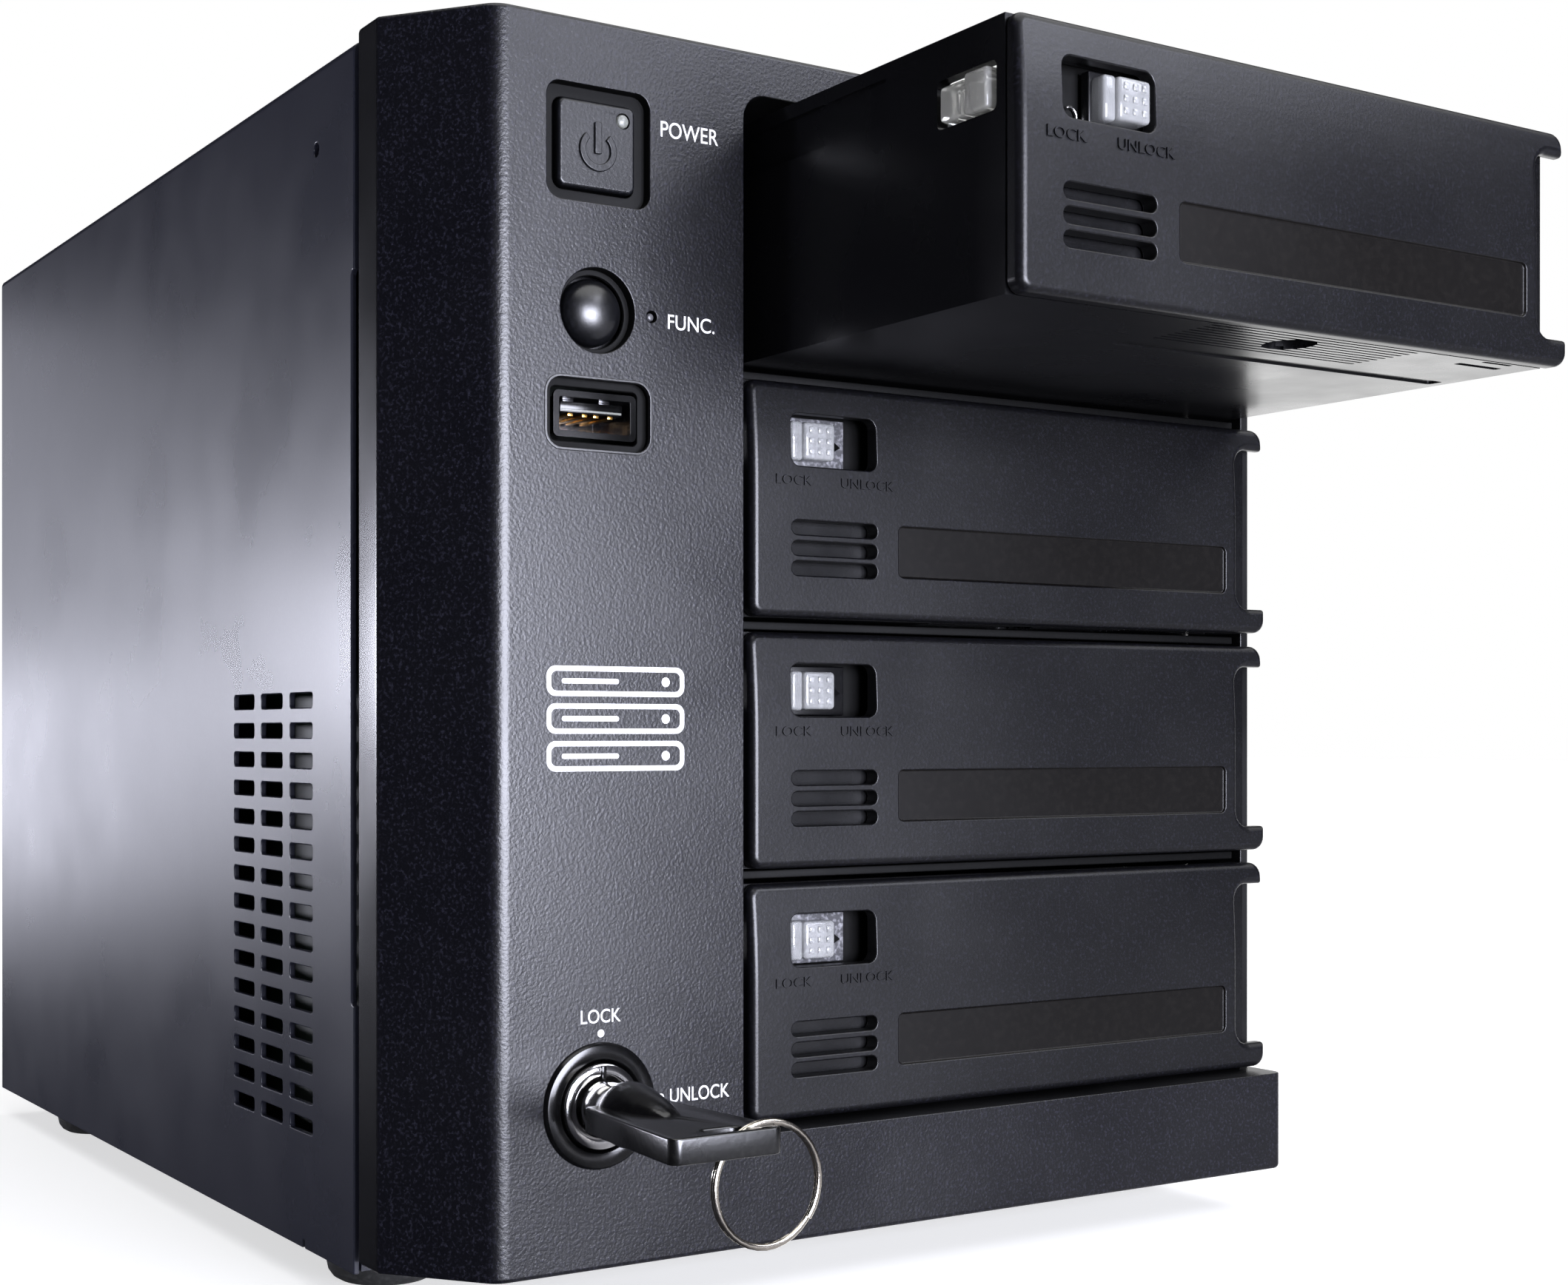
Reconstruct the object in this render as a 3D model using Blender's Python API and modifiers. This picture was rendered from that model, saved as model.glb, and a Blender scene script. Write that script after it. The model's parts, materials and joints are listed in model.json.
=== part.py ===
"""Network storage enclosure with four drive cartridges, one object per piece.

The frame is metres with +Z up. The front faces -Y and +X is to the right as seen from the front.
The origin is on the ground, under the middle of the whole object with its top cartridge drawn out.
"""

import math

import bmesh
import bpy
from mathutils import Matrix, Vector

MM = 0.001
GAP = 0.3 * MM

# Driving dimensions
BODY_WIDTH = 178.6 * MM
BODY_DEPTH = 232.5 * MM
BEZEL_HEIGHT = 190.6 * MM
FOOT_HEIGHT = 8.0 * MM
BAYS = 4
BAY_PITCH = 41.18 * MM
TOP_DRAWN_OUT = 65.4 * MM
REAR_PROUD = 1.3 * MM

# Bezel
WALL = 2.5 * MM
CHAMFER_X = 12.5 * MM
CHAMFER_Y = 15.7 * MM
BEZEL_DEPTH = 23.0 * MM
CORNER_RADIUS = 2.3 * MM
BAY_LEFT = -33.0 * MM
BAY_RIGHT = 87.3 * MM
BAY_BOTTOM = 18.0 * MM
BAY_TOP = 183.7 * MM
BAY_CORNER = 4.0 * MM
RIGHT_WALL_FRONT = 9.1 * MM

# Sheet metal
COVER_FRONT = 24.4 * MM
COVER_BOTTOM = -1.9 * MM
COVER_TOP = 189.2 * MM
COVER_THICK = 1.0 * MM
VENT_ROWS = 15
VENT_COLUMNS = (41.0 * MM, 54.0 * MM, 67.0 * MM)
VENT_LENGTH = 9.8 * MM
VENT_HEIGHT = 2.4 * MM
VENT_PITCH = 4.94 * MM
VENT_LOWEST = 18.2 * MM
COVER_HOLE = (39.4 * MM, 175.7 * MM, 1.15 * MM)
COVER_NOTCH = (44.3 * MM, -0.6 * MM)
COVER_RELIEF = (39.7 * MM, 153.8 * MM)

# Feet
FOOT_RADIUS = 9.0 * MM
FOOT_INSET = 14.0 * MM
FOOT_FRONT = 44.0 * MM
FOOT_REAR = 200.0 * MM

# Cartridge, measured from its own face and floor
FACE_SET_BACK = 4.4 * MM
CART_HEIGHT = 38.7 * MM
CART_LEFT = -28.5 * MM
CART_RIGHT = 86.9 * MM
FACE_RIGHT = 89.3 * MM
FACE_THICK = 2.9 * MM
TOP_CART_FLOOR = 142.2 * MM
SHELL_REAR = 162.0 * MM
SHELL_RIGHT = CART_RIGHT - 0.6 * MM
SHELL_WALL = 2.0 * MM
GRIP_LEFT = 81.9 * MM
GRIP_LOW = 4.5 * MM
GRIP_HIGH = 34.7 * MM
GRIP_RADIUS = 3.3 * MM
WINDOW = (-20.6 * MM, -3.2 * MM, 24.9 * MM, 33.6 * MM)
SLOT_LOWS = (6.9 * MM, 10.2 * MM, 13.6 * MM)
SLOT_HEIGHT = 2.35 * MM
LABEL = (1.4 * MM, 78.5 * MM, 7.3 * MM, 15.9 * MM)
LATCH_TRAVEL = 7.7 * MM
BOLT_TRAVEL = 3.5 * MM
LOCKED_KNOB_X = -14.7 * MM
DRIVE_SIZE = (101.6 * MM, 147.0 * MM, 26.1 * MM)

# Control strip
CONTROL_X = -59.5 * MM
POWER_Z = 171.6 * MM
FUNC_X = -59.7 * MM
FUNC_Z = 146.4 * MM
USB_Z = 130.5 * MM
LOCK_Z = 25.2 * MM
BUTTON_REAR = 13.4 * MM
LOCK_NOSE = -1.0 * MM
PLUG_FACE = -1.4 * MM

# Key and ring, measured from the front plane and the bezel's bottom edge
KEY_FRONT = -36.3 * MM
KEY_BACK = -6.0 * MM
KEY_THICK = 2.9 * MM
KEY_CORNER = 1.2 * MM
RING_CENTRE = (-51.4 * MM, -33.5 * MM, 18.3 * MM)
RING_RADIUS = 8.85 * MM
RING_WIRE = 0.55 * MM

# Rear: fan, sockets (x, z, width, height) and the sheet they sit in
FAN_X = 28.0 * MM
FAN_Z = 96.0 * MM
FAN_SIZE = 80.0 * MM
FAN_DEPTH = 25.0 * MM
FAN_BORE = 38.0 * MM
FAN_BLADES = 7
PANEL_FRONT = BODY_DEPTH - 1.8 * MM
PANEL_BACK = BODY_DEPTH - 0.8 * MM
SCREW_X = 80.0 * MM
SCREW_Z = 180.0 * MM
REAR_SOCKETS = {
    "network_socket": (-52.0 * MM, 60.0 * MM, 16.4 * MM, 13.6 * MM),
    "rear_usb_socket": (-52.0 * MM, 86.0 * MM, 14.6 * MM, 7.4 * MM),
    "power_inlet": (-52.0 * MM, 30.0 * MM, 12.0 * MM, 12.0 * MM),
}
SOCKET_DEPTH = 18.0 * MM

# Everything behind the front plane is placed from it
FRONT_Y = -(BODY_DEPTH + REAR_PROUD + FACE_SET_BACK - TOP_DRAWN_OUT) / 2
HALF = BODY_WIDTH / 2
TRAY_HALF = HALF - COVER_THICK - GAP
TRAY_FLOOR = -1.5 * MM
TRAY_THICK = 1.0 * MM

# Drive cage and boards
CAGE_FRONT = BEZEL_DEPTH + 1.8 * MM
CAGE_REAR = 172.0 * MM
CAGE_LEFT = -32.6 * MM
CAGE_RIGHT = TRAY_HALF - TRAY_THICK - GAP
BOARD_THICK = 1.6 * MM


def clear_scene():
    """Remove whatever the file holds."""
    for item in list(bpy.data.objects):
        bpy.data.objects.remove(item, do_unlink=True)
    for group in list(bpy.data.collections):
        bpy.data.collections.remove(group)


def new_collection(name):
    """Make a collection in the scene."""
    group = bpy.data.collections.new(name)
    bpy.context.scene.collection.children.link(group)
    return group


def material(name, colour, roughness, metallic=0.0):
    """Make or reuse a plain Principled material."""
    found = bpy.data.materials.get(name)
    if found:
        return found
    made = bpy.data.materials.new(name)
    made.use_nodes = True
    shader = made.node_tree.nodes["Principled BSDF"]
    shader.inputs["Base Color"].default_value = (*colour, 1.0)
    shader.inputs["Roughness"].default_value = roughness
    shader.inputs["Metallic"].default_value = metallic
    return made


def place(x, y, z):
    """Turn a place measured from the front plane and the bezel's bottom edge into the frame."""
    return Vector((x, FRONT_Y + y, FOOT_HEIGHT + z))


def box_into(mesh, low, high):
    """Add a box to a bmesh from two opposite corners."""
    low_corner = place(*low)
    high_corner = place(*high)
    size = high_corner - low_corner
    middle = (high_corner + low_corner) / 2
    matrix = Matrix.Translation(middle) @ Matrix.Diagonal((*size, 1.0))
    bmesh.ops.create_cube(mesh, size=1.0, matrix=matrix)


def rod_into(mesh, centre, axis, radius, length, segments=24, end_radius=None):
    """Add a cylinder, or a cone with end_radius, along a world axis, centred on a place."""
    turn = Vector((0, 0, 1)).rotation_difference(Vector(axis)).to_matrix().to_4x4()
    matrix = Matrix.Translation(place(*centre)) @ turn
    last = radius if end_radius is None else end_radius
    bmesh.ops.create_cone(
        mesh, cap_ends=True, segments=segments, radius1=radius, radius2=last, depth=length, matrix=matrix
    )


def finish(name, mesh, group, look=None, origin=None, smooth=False):
    """Turn a bmesh into an object whose origin is the given place."""
    pivot = place(*origin) if origin else Vector((0, 0, 0))
    bmesh.ops.translate(mesh, verts=mesh.verts, vec=-pivot)
    bmesh.ops.recalc_face_normals(mesh, faces=mesh.faces)
    data = bpy.data.meshes.new(name)
    mesh.to_mesh(data)
    mesh.free()
    if smooth:
        data.shade_smooth()
        data.set_sharp_from_angle(angle=math.radians(35))
    thing = bpy.data.objects.new(name, data)
    thing.location = pivot
    group.objects.link(thing)
    if look:
        data.materials.append(look)
    else:
        thing.hide_render = True
        thing.display_type = "WIRE"
    return thing


def rounded_outline(x0, x1, z0, z1, radius, steps=4):
    """Corner points of a rectangle with round corners."""
    corners = (
        (x1 - radius, z1 - radius, 0),
        (x0 + radius, z1 - radius, 90),
        (x0 + radius, z0 + radius, 180),
        (x1 - radius, z0 + radius, 270),
    )
    points = []
    for x, z, start in corners:
        for step in range(steps + 1):
            angle = math.radians(start + 90 * step / steps)
            points.append((x + radius * math.cos(angle), z + radius * math.sin(angle)))
    return points


def slab(name, points, normal, start, end, group, look=None, origin=None):
    """Extrude a flat outline along Y or Z between two places, from a filled curve."""
    curve = bpy.data.curves.new(name, "CURVE")
    curve.dimensions = "2D"
    curve.fill_mode = "BOTH"
    curve.extrude = (end - start) / 2
    line = curve.splines.new("POLY")
    line.points.add(len(points) - 1)
    for point, (u, v) in zip(line.points, points):
        point.co = (u, v, 0, 1)
    line.use_cyclic_u = True
    flat = bpy.data.objects.new(name + "_outline", curve)
    group.objects.link(flat)
    middle = (start + end) / 2
    if normal == "Y":
        turn = Matrix.Rotation(math.radians(90), 4, "X")
        shift = Matrix.Translation(place(0, middle, 0))
    else:
        turn = Matrix.Identity(4)
        shift = Matrix.Translation(place(0, 0, middle))
    flat.matrix_world = shift @ turn
    bpy.context.view_layer.update()
    evaluated = flat.evaluated_get(bpy.context.evaluated_depsgraph_get())
    data = bpy.data.meshes.new_from_object(evaluated)
    data.transform(flat.matrix_world)
    bpy.data.objects.remove(flat, do_unlink=True)
    mesh = bmesh.new()
    mesh.from_mesh(data)
    bpy.data.meshes.remove(data)
    bmesh.ops.remove_doubles(mesh, verts=mesh.verts, dist=0.00001)
    return finish(name, mesh, group, look, origin)


def turned(name, profile, centre, group, look, segments=32):
    """Spin a (radius, y) profile, front to rear on its outer side, about the Y axis."""
    curve_mesh = bmesh.new()
    ring = [curve_mesh.verts.new((radius, y, 0)) for radius, y in reversed(profile)]
    for first, second in zip(ring, ring[1:]):
        curve_mesh.edges.new((first, second))
    if profile[0][0] > 0:
        curve_mesh.edges.new((ring[-1], ring[0]))
    thing = finish(name, curve_mesh, group, look)
    thing.location = place(*centre)
    screw = thing.modifiers.new("Turn", "SCREW")
    screw.axis = "Y"
    screw.steps = segments
    screw.render_steps = segments
    screw.use_merge_vertices = True
    screw.merge_threshold = 0.00005
    screw.use_smooth_shade = True
    return thing


def boolean(target, helper, operation="DIFFERENCE"):
    """Cut or join with a helper object."""
    step = target.modifiers.new(operation.title(), "BOOLEAN")
    step.operation = operation
    step.solver = "EXACT"
    step.object = helper


def cut_boxes(target, boxes, cutters, name):
    """Cut boxes that don't touch each other, in one step."""
    mesh = bmesh.new()
    for low, high in boxes:
        box_into(mesh, low, high)
    boolean(target, finish(name, mesh, cutters))


def solid_box(name, low, high, group, look, origin=None, bevel=0.0):
    """One box-shaped piece."""
    mesh = bmesh.new()
    box_into(mesh, low, high)
    thing = finish(name, mesh, group, look, origin)
    if bevel:
        edge = thing.modifiers.new("Edges", "BEVEL")
        edge.width = bevel
        edge.segments = 2
    return thing


def join_boxes(target, boxes, cutters, name):
    """Join boxes to a piece one after another."""
    for index, (low, high) in enumerate(boxes):
        mesh = bmesh.new()
        box_into(mesh, low, high)
        boolean(target, finish(f"{name}_{index}", mesh, cutters), "UNION")


def plastic():
    """Charcoal moulded plastic."""
    return material("charcoal_plastic", (0.035, 0.036, 0.042), 0.42)


def painted():
    """Blue-grey painted steel."""
    return material("painted_steel", (0.075, 0.078, 0.095), 0.38, 0.3)


def bare_steel():
    """Bright plated steel."""
    return material("plated_steel", (0.62, 0.63, 0.65), 0.3, 1.0)


def black():
    """Black plastic."""
    return material("black_plastic", (0.012, 0.012, 0.013), 0.35)


def chrome():
    """Polished chrome."""
    return material("chrome", (0.8, 0.8, 0.8), 0.08, 1.0)


def board():
    """Green circuit board."""
    return material("circuit_board", (0.02, 0.13, 0.06), 0.5)


def rubber():
    """Black rubber."""
    return material("rubber", (0.015, 0.015, 0.015), 0.85)


def clear_plastic():
    """Clear latch plastic, given a pale grey here."""
    return material("clear_plastic", (0.75, 0.77, 0.78), 0.15)


def make_bezel(parts, cutters):
    """Plastic front: chamfered left edge, hollow control strip, bay opening and bottom bar."""
    outline = [(-HALF, BEZEL_DEPTH), (-HALF, CHAMFER_Y), (-HALF + CHAMFER_X, 0.0)]
    for step in range(5):
        angle = math.radians(-90 + 90 * step / 4)
        x = HALF - CORNER_RADIUS + CORNER_RADIUS * math.cos(angle)
        y = CORNER_RADIUS + CORNER_RADIUS * math.sin(angle)
        outline.append((x, y))
    outline.append((HALF, BEZEL_DEPTH))
    bezel = slab("bezel", outline, "Z", 0.0, BEZEL_HEIGHT, parts, plastic())
    back = BEZEL_DEPTH + 1 * MM
    before = -1 * MM
    bay = rounded_outline(BAY_LEFT, BAY_RIGHT + 2 * BAY_CORNER, BAY_BOTTOM, BAY_TOP, BAY_CORNER)
    bay = [(min(x, BAY_RIGHT), z) for x, z in bay]
    bay = list(dict.fromkeys(bay))
    boolean(bezel, slab("bay_opening_cut", bay, "Y", before, back, cutters))
    low = (BAY_RIGHT - 1 * MM, before, BAY_BOTTOM)
    wall_front = [(low, (HALF + 1 * MM, RIGHT_WALL_FRONT, BAY_TOP))]
    cut_boxes(bezel, wall_front, cutters, "right_wall_cut")
    strip = [(-HALF + WALL, back), (-HALF + WALL, CHAMFER_Y + 1 * MM)]
    strip += [(-HALF + CHAMFER_X + 1 * MM, WALL), (BAY_LEFT - WALL, WALL), (BAY_LEFT - WALL, back)]
    hollow = slab("strip_hollow_cut", strip, "Z", WALL, BEZEL_HEIGHT - WALL, cutters)
    boolean(bezel, hollow)
    bar = [((BAY_LEFT + WALL, WALL, WALL), (BAY_RIGHT - WALL, back, BAY_BOTTOM - WALL))]
    cut_boxes(bezel, bar, cutters, "bar_hollow_cut")
    cut_control_holes(bezel, cutters)


def cut_control_holes(bezel, cutters):
    """Recesses and through holes for the buttons, the socket and the lock."""
    front = -1 * MM
    step = 1.5 * MM
    through = WALL + 1 * MM
    x = CONTROL_X
    recess = rounded_outline(x - 9.0 * MM, x + 9.0 * MM, POWER_Z - 8.8 * MM, POWER_Z + 8.8 * MM, 2 * MM)
    hole = rounded_outline(x - 7.1 * MM, x + 7.1 * MM, POWER_Z - 6.9 * MM, POWER_Z + 6.9 * MM, 1.5 * MM)
    boolean(bezel, slab("power_recess_cut", recess, "Y", front, step, cutters))
    boolean(bezel, slab("power_hole_cut", hole, "Y", front, through, cutters))
    recess = rounded_outline(x - 9.4 * MM, x + 9.4 * MM, USB_Z - 5.6 * MM, USB_Z + 5.6 * MM, 2.6 * MM)
    hole = rounded_outline(x - 7.6 * MM, x + 7.6 * MM, USB_Z - 4.1 * MM, USB_Z + 4.1 * MM, 0.8 * MM)
    boolean(bezel, slab("usb_recess_cut", recess, "Y", front, step, cutters))
    boolean(bezel, slab("usb_hole_cut", hole, "Y", front, through, cutters))
    for name, centre_x, centre_z, radius, depth in (
        ("func_recess_cut", FUNC_X, FUNC_Z, 6.5 * MM, step),
        ("func_hole_cut", FUNC_X, FUNC_Z, 5.6 * MM, through),
        ("func_light_cut", FUNC_X + 9.6 * MM, FUNC_Z, 0.9 * MM, through),
        ("lock_hole_cut", CONTROL_X, LOCK_Z, 8.4 * MM, through),
    ):
        mesh = bmesh.new()
        middle = (front + depth) / 2
        rod_into(mesh, (centre_x, middle, centre_z), (0, 1, 0), radius, depth - front)
        boolean(bezel, finish(name, mesh, cutters))


def make_cover(parts, cutters):
    """One folded sheet over the left side, the top and the right side, with vents."""
    t = COVER_THICK
    bend = 1.6 * MM
    outline = [(-HALF, COVER_BOTTOM)]
    for centre_x, start in ((-HALF + bend, 180), (HALF - bend, 90)):
        for step in range(4):
            angle = math.radians(start - 30 * step)
            outline.append((centre_x + bend * math.cos(angle), COVER_TOP - bend + bend * math.sin(angle)))
    outline += [(HALF, COVER_BOTTOM), (HALF - t, COVER_BOTTOM)]
    outline += [(HALF - t, COVER_TOP - t), (-HALF + t, COVER_TOP - t), (-HALF + t, COVER_BOTTOM)]
    cover = slab("side_cover", outline, "Y", COVER_FRONT, BODY_DEPTH, parts, painted())
    mesh = bmesh.new()
    for side in (-HALF, HALF - t):
        for first in VENT_COLUMNS:
            for row in range(VENT_ROWS):
                low = VENT_LOWEST + row * VENT_PITCH - VENT_HEIGHT / 2
                low_corner = (side - GAP, first, low)
                box_into(mesh, low_corner, (side + t + GAP, first + VENT_LENGTH, low + VENT_HEIGHT))
    boolean(cover, finish("vent_cut", mesh, cutters))
    mesh = bmesh.new()
    hole_y, hole_z, hole_radius = COVER_HOLE
    rod_into(mesh, (-HALF, hole_y, hole_z), (1, 0, 0), hole_radius, 4 * t, 12)
    boolean(cover, finish("cover_hole_cut", mesh, cutters))
    notch_y, notch_high = COVER_NOTCH
    notch = [
        ((-HALF - GAP, notch_y, COVER_BOTTOM - GAP), (-HALF + t + GAP, notch_y + 1.0 * MM, notch_high)),
    ]
    cut_boxes(cover, notch, cutters, "cover_notch_cut")
    low, high = COVER_RELIEF
    relief = [((-HALF - GAP, COVER_FRONT - GAP, low), (HALF + GAP, COVER_FRONT + 1.0 * MM, high))]
    cut_boxes(cover, relief, cutters, "cover_relief_cut")


def make_tray(parts, cutters):
    """Folded floor that the feet screw to."""
    rim = 12.0 * MM
    wide = TRAY_HALF
    tray = solid_box(
        "base_tray", (-wide, COVER_FRONT, TRAY_FLOOR), (wide, PANEL_FRONT - 1.2 * MM, rim), parts, painted()
    )
    inner_wide = wide - TRAY_THICK
    low = (-inner_wide, COVER_FRONT - GAP, TRAY_FLOOR + 1.2 * MM)
    cut_boxes(tray, [(low, (inner_wide, BODY_DEPTH, rim + 1 * MM))], cutters, "tray_hollow_cut")


def make_feet(parts):
    """Four round rubber feet under the tray."""
    for name, x, y in (
        ("foot_front_left", -1, FOOT_FRONT),
        ("foot_front_right", 1, FOOT_FRONT),
        ("foot_rear_left", -1, FOOT_REAR),
        ("foot_rear_right", 1, FOOT_REAR),
    ):
        mesh = bmesh.new()
        top = TRAY_FLOOR - GAP
        middle = (top - FOOT_HEIGHT) / 2
        centre = (x * (HALF - FOOT_INSET), y, middle)
        rod_into(mesh, centre, (0, 0, 1), FOOT_RADIUS, top + FOOT_HEIGHT, 24, FOOT_RADIUS + 1 * MM)
        finish(name, mesh, parts, rubber(), (centre[0], centre[1], -FOOT_HEIGHT), True)


def make_rear_panel(parts, cutters):
    """Rear sheet with the fan opening and the socket holes."""
    high = (TRAY_HALF, PANEL_BACK, COVER_TOP - COVER_THICK - GAP)
    panel = solid_box("rear_panel", (-TRAY_HALF, PANEL_FRONT, 0.0), high, parts, painted())
    boxes = []
    for x, z, width, height in REAR_SOCKETS.values():
        half_width = width / 2 + GAP
        half_height = height / 2 + GAP
        low = (x - half_width, PANEL_FRONT - GAP, z - half_height)
        boxes.append((low, (x + half_width, PANEL_BACK + GAP, z + half_height)))
    cut_boxes(panel, boxes, cutters, "socket_hole_cut")
    mesh = bmesh.new()
    middle = (PANEL_FRONT + PANEL_BACK) / 2
    rod_into(mesh, (FAN_X, middle, FAN_Z), (0, 1, 0), FAN_BORE, 3 * MM, 40)
    for side in (-1, 1):
        rod_into(mesh, (side * SCREW_X, middle, SCREW_Z), (0, 1, 0), 1.8 * MM, 3 * MM, 12)
    boolean(panel, finish("fan_hole_cut", mesh, cutters))


def make_panel_screws(parts):
    """Two cross-head screws through the top corners of the rear panel."""
    head = PANEL_BACK + GAP
    for name, side in (("panel_screw_left", -1), ("panel_screw_right", 1)):
        profile = [(0.0, -6.0 * MM), (1.4 * MM, -6.0 * MM), (1.4 * MM, 0.0), (3.2 * MM, 0.0)]
        profile += [(3.0 * MM, 1.3 * MM), (2.0 * MM, 1.8 * MM), (0.0, 1.8 * MM)]
        turned(name, profile, (side * SCREW_X, head, SCREW_Z), parts, bare_steel(), 16)


def make_fan(parts, cutters):
    """Rear fan: square frame, seven-blade rotor on the Y axis, and a wire-like guard."""
    back = PANEL_FRONT - GAP
    front = back - FAN_DEPTH
    half = FAN_SIZE / 2
    low = (FAN_X - half, front, FAN_Z - half)
    frame = solid_box("fan_frame", low, (FAN_X + half, back, FAN_Z + half), parts, black())
    mesh = bmesh.new()
    middle = (front + back) / 2
    rod_into(mesh, (FAN_X, middle, FAN_Z), (0, 1, 0), FAN_BORE, FAN_DEPTH + 2 * MM, 40)
    boolean(frame, finish("fan_frame_cut", mesh, cutters))
    spokes = []
    spoke = 3.0 * MM
    spoke_half = 2.0 * MM
    for side in (-1, 1):
        inner = sorted((side * 14 * MM, side * (half - 0.5 * MM)))
        low = (FAN_X + inner[0], front, FAN_Z - spoke_half)
        spokes.append((low, (FAN_X + inner[1], front + spoke, FAN_Z + spoke_half)))
        low = (FAN_X - spoke_half, front, FAN_Z + inner[0])
        spokes.append((low, (FAN_X + spoke_half, front + spoke, FAN_Z + inner[1])))
    join_boxes(frame, spokes, cutters, "fan_spoke")
    mesh = bmesh.new()
    rod_into(mesh, (FAN_X, front + spoke / 2, FAN_Z), (0, 1, 0), 15 * MM, spoke, 24)
    boolean(frame, finish("fan_motor_seat", mesh, cutters), "UNION")
    hub = (FAN_X, front + 12 * MM, FAN_Z)
    mesh = bmesh.new()
    rod_into(mesh, hub, (0, 1, 0), 17 * MM, 16 * MM, 28)
    rotor = finish("fan_rotor", mesh, parts, black(), hub, True)
    size = Matrix.Diagonal((15 * MM, 1.4 * MM, 22 * MM, 1.0))
    pitch = Matrix.Rotation(math.radians(48), 4, "Z")
    reach = Matrix.Translation((0, 0, 25 * MM))
    for blade in range(FAN_BLADES):
        turn = Matrix.Rotation(math.tau * blade / FAN_BLADES, 4, "Y")
        mesh = bmesh.new()
        lay = Matrix.Translation(place(*hub)) @ turn @ reach @ pitch @ size
        bmesh.ops.create_cube(mesh, size=1.0, matrix=lay)
        boolean(rotor, finish(f"fan_blade_{blade}", mesh, cutters), "UNION")
    make_guard(parts, cutters)


def make_guard(parts, cutters):
    """Round finger guard: rings held by four arms, flat against the rear panel."""
    front = PANEL_BACK + GAP
    thick = 1.6 * MM
    arm = 1.2 * MM
    reach = 45 * MM
    middle = front + thick / 2
    mesh = bmesh.new()
    rod_into(mesh, (FAN_X, middle, FAN_Z), (0, 1, 0), 41 * MM, thick, 32)
    guard = finish("fan_guard", mesh, parts, bare_steel(), (FAN_X, middle, FAN_Z))
    for index, (outer, inner) in enumerate(((38 * MM, 29 * MM), (27 * MM, 18 * MM))):
        mesh = bmesh.new()
        rod_into(mesh, (FAN_X, middle, FAN_Z), (0, 1, 0), outer, 3 * MM, 32)
        ring = finish(f"guard_ring_cut_{index}", mesh, cutters)
        mesh = bmesh.new()
        rod_into(mesh, (FAN_X, middle, FAN_Z), (0, 1, 0), inner, 4 * MM, 32)
        boolean(ring, finish(f"guard_ring_core_{index}", mesh, cutters))
        low = (FAN_X - reach, front - 2 * MM, FAN_Z - arm)
        cut_boxes(ring, [(low, (FAN_X + reach, front + 4 * MM, FAN_Z + arm))], cutters, f"arm_x_{index}")
        low = (FAN_X - arm, front - 2 * MM, FAN_Z - reach)
        cut_boxes(ring, [(low, (FAN_X + arm, front + 4 * MM, FAN_Z + reach))], cutters, f"arm_z_{index}")
        boolean(guard, ring)


def make_rear_sockets(parts, cutters):
    """Network, USB and power sockets that stand in the rear panel."""
    rear = PANEL_BACK + 0.2 * MM
    for name, (x, z, width, height) in REAR_SOCKETS.items():
        low = (x - width / 2, rear - SOCKET_DEPTH, z - height / 2)
        look = black() if name == "power_inlet" else bare_steel()
        socket = solid_box(name, low, (x + width / 2, rear, z + height / 2), parts, look)
        if name == "power_inlet":
            mesh = bmesh.new()
            rod_into(mesh, (x, rear - 5 * MM, z), (0, 1, 0), 3.2 * MM, 12 * MM, 20)
            hole = finish("inlet_hole_cut", mesh, cutters)
            mesh = bmesh.new()
            rod_into(mesh, (x, rear - 7 * MM, z), (0, 1, 0), 1.1 * MM, 14 * MM, 12)
            boolean(hole, finish("inlet_pin_core", mesh, cutters))
            boolean(socket, hole)
        elif name == "network_socket":
            hollow = [((x - 6 * MM, rear - 12 * MM, z - 3.6 * MM), (x + 6 * MM, rear + 1 * MM, z + 4.4 * MM))]
            cut_boxes(socket, hollow, cutters, "network_hollow_cut")
        else:
            reach = rear - 12 * MM
            hollow = [
                ((x - 6.2 * MM, reach, z - 2.6 * MM), (x + 6.2 * MM, rear + 1 * MM, z + 0.4 * MM)),
                ((x - 6.2 * MM, reach, z + 2.2 * MM), (x + 6.2 * MM, rear + 1 * MM, z + 2.6 * MM)),
            ]
            cut_boxes(socket, hollow, cutters, "rear_usb_hollow_cut")


def bay_floor(bay):
    """Height of a bay's cartridge floor; bay 1 is the top one."""
    return TOP_CART_FLOOR - (bay - 1) * BAY_PITCH


def make_cage(parts, cutters):
    """Steel cage with one tunnel for each cartridge, standing on the tray."""
    high = (CAGE_RIGHT, CAGE_REAR, BAY_TOP + 1.2 * MM)
    cage = solid_box("drive_cage", (CAGE_LEFT, CAGE_FRONT, 0.0), high, parts, bare_steel())
    play = 0.4 * MM
    left = CART_LEFT - play
    right = SHELL_RIGHT + play
    before = CAGE_FRONT - 1 * MM
    after = CAGE_REAR + 1 * MM
    tunnels = [((left, before, 2 * MM), (right, after, BAY_BOTTOM - 2 * MM))]
    for bay in range(1, BAYS + 1):
        floor = bay_floor(bay)
        tunnels.append(((left, before, floor - play), (right, after, floor + CART_HEIGHT + play)))
    cut_boxes(cage, tunnels, cutters, "bay_tunnel_cut")


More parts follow.
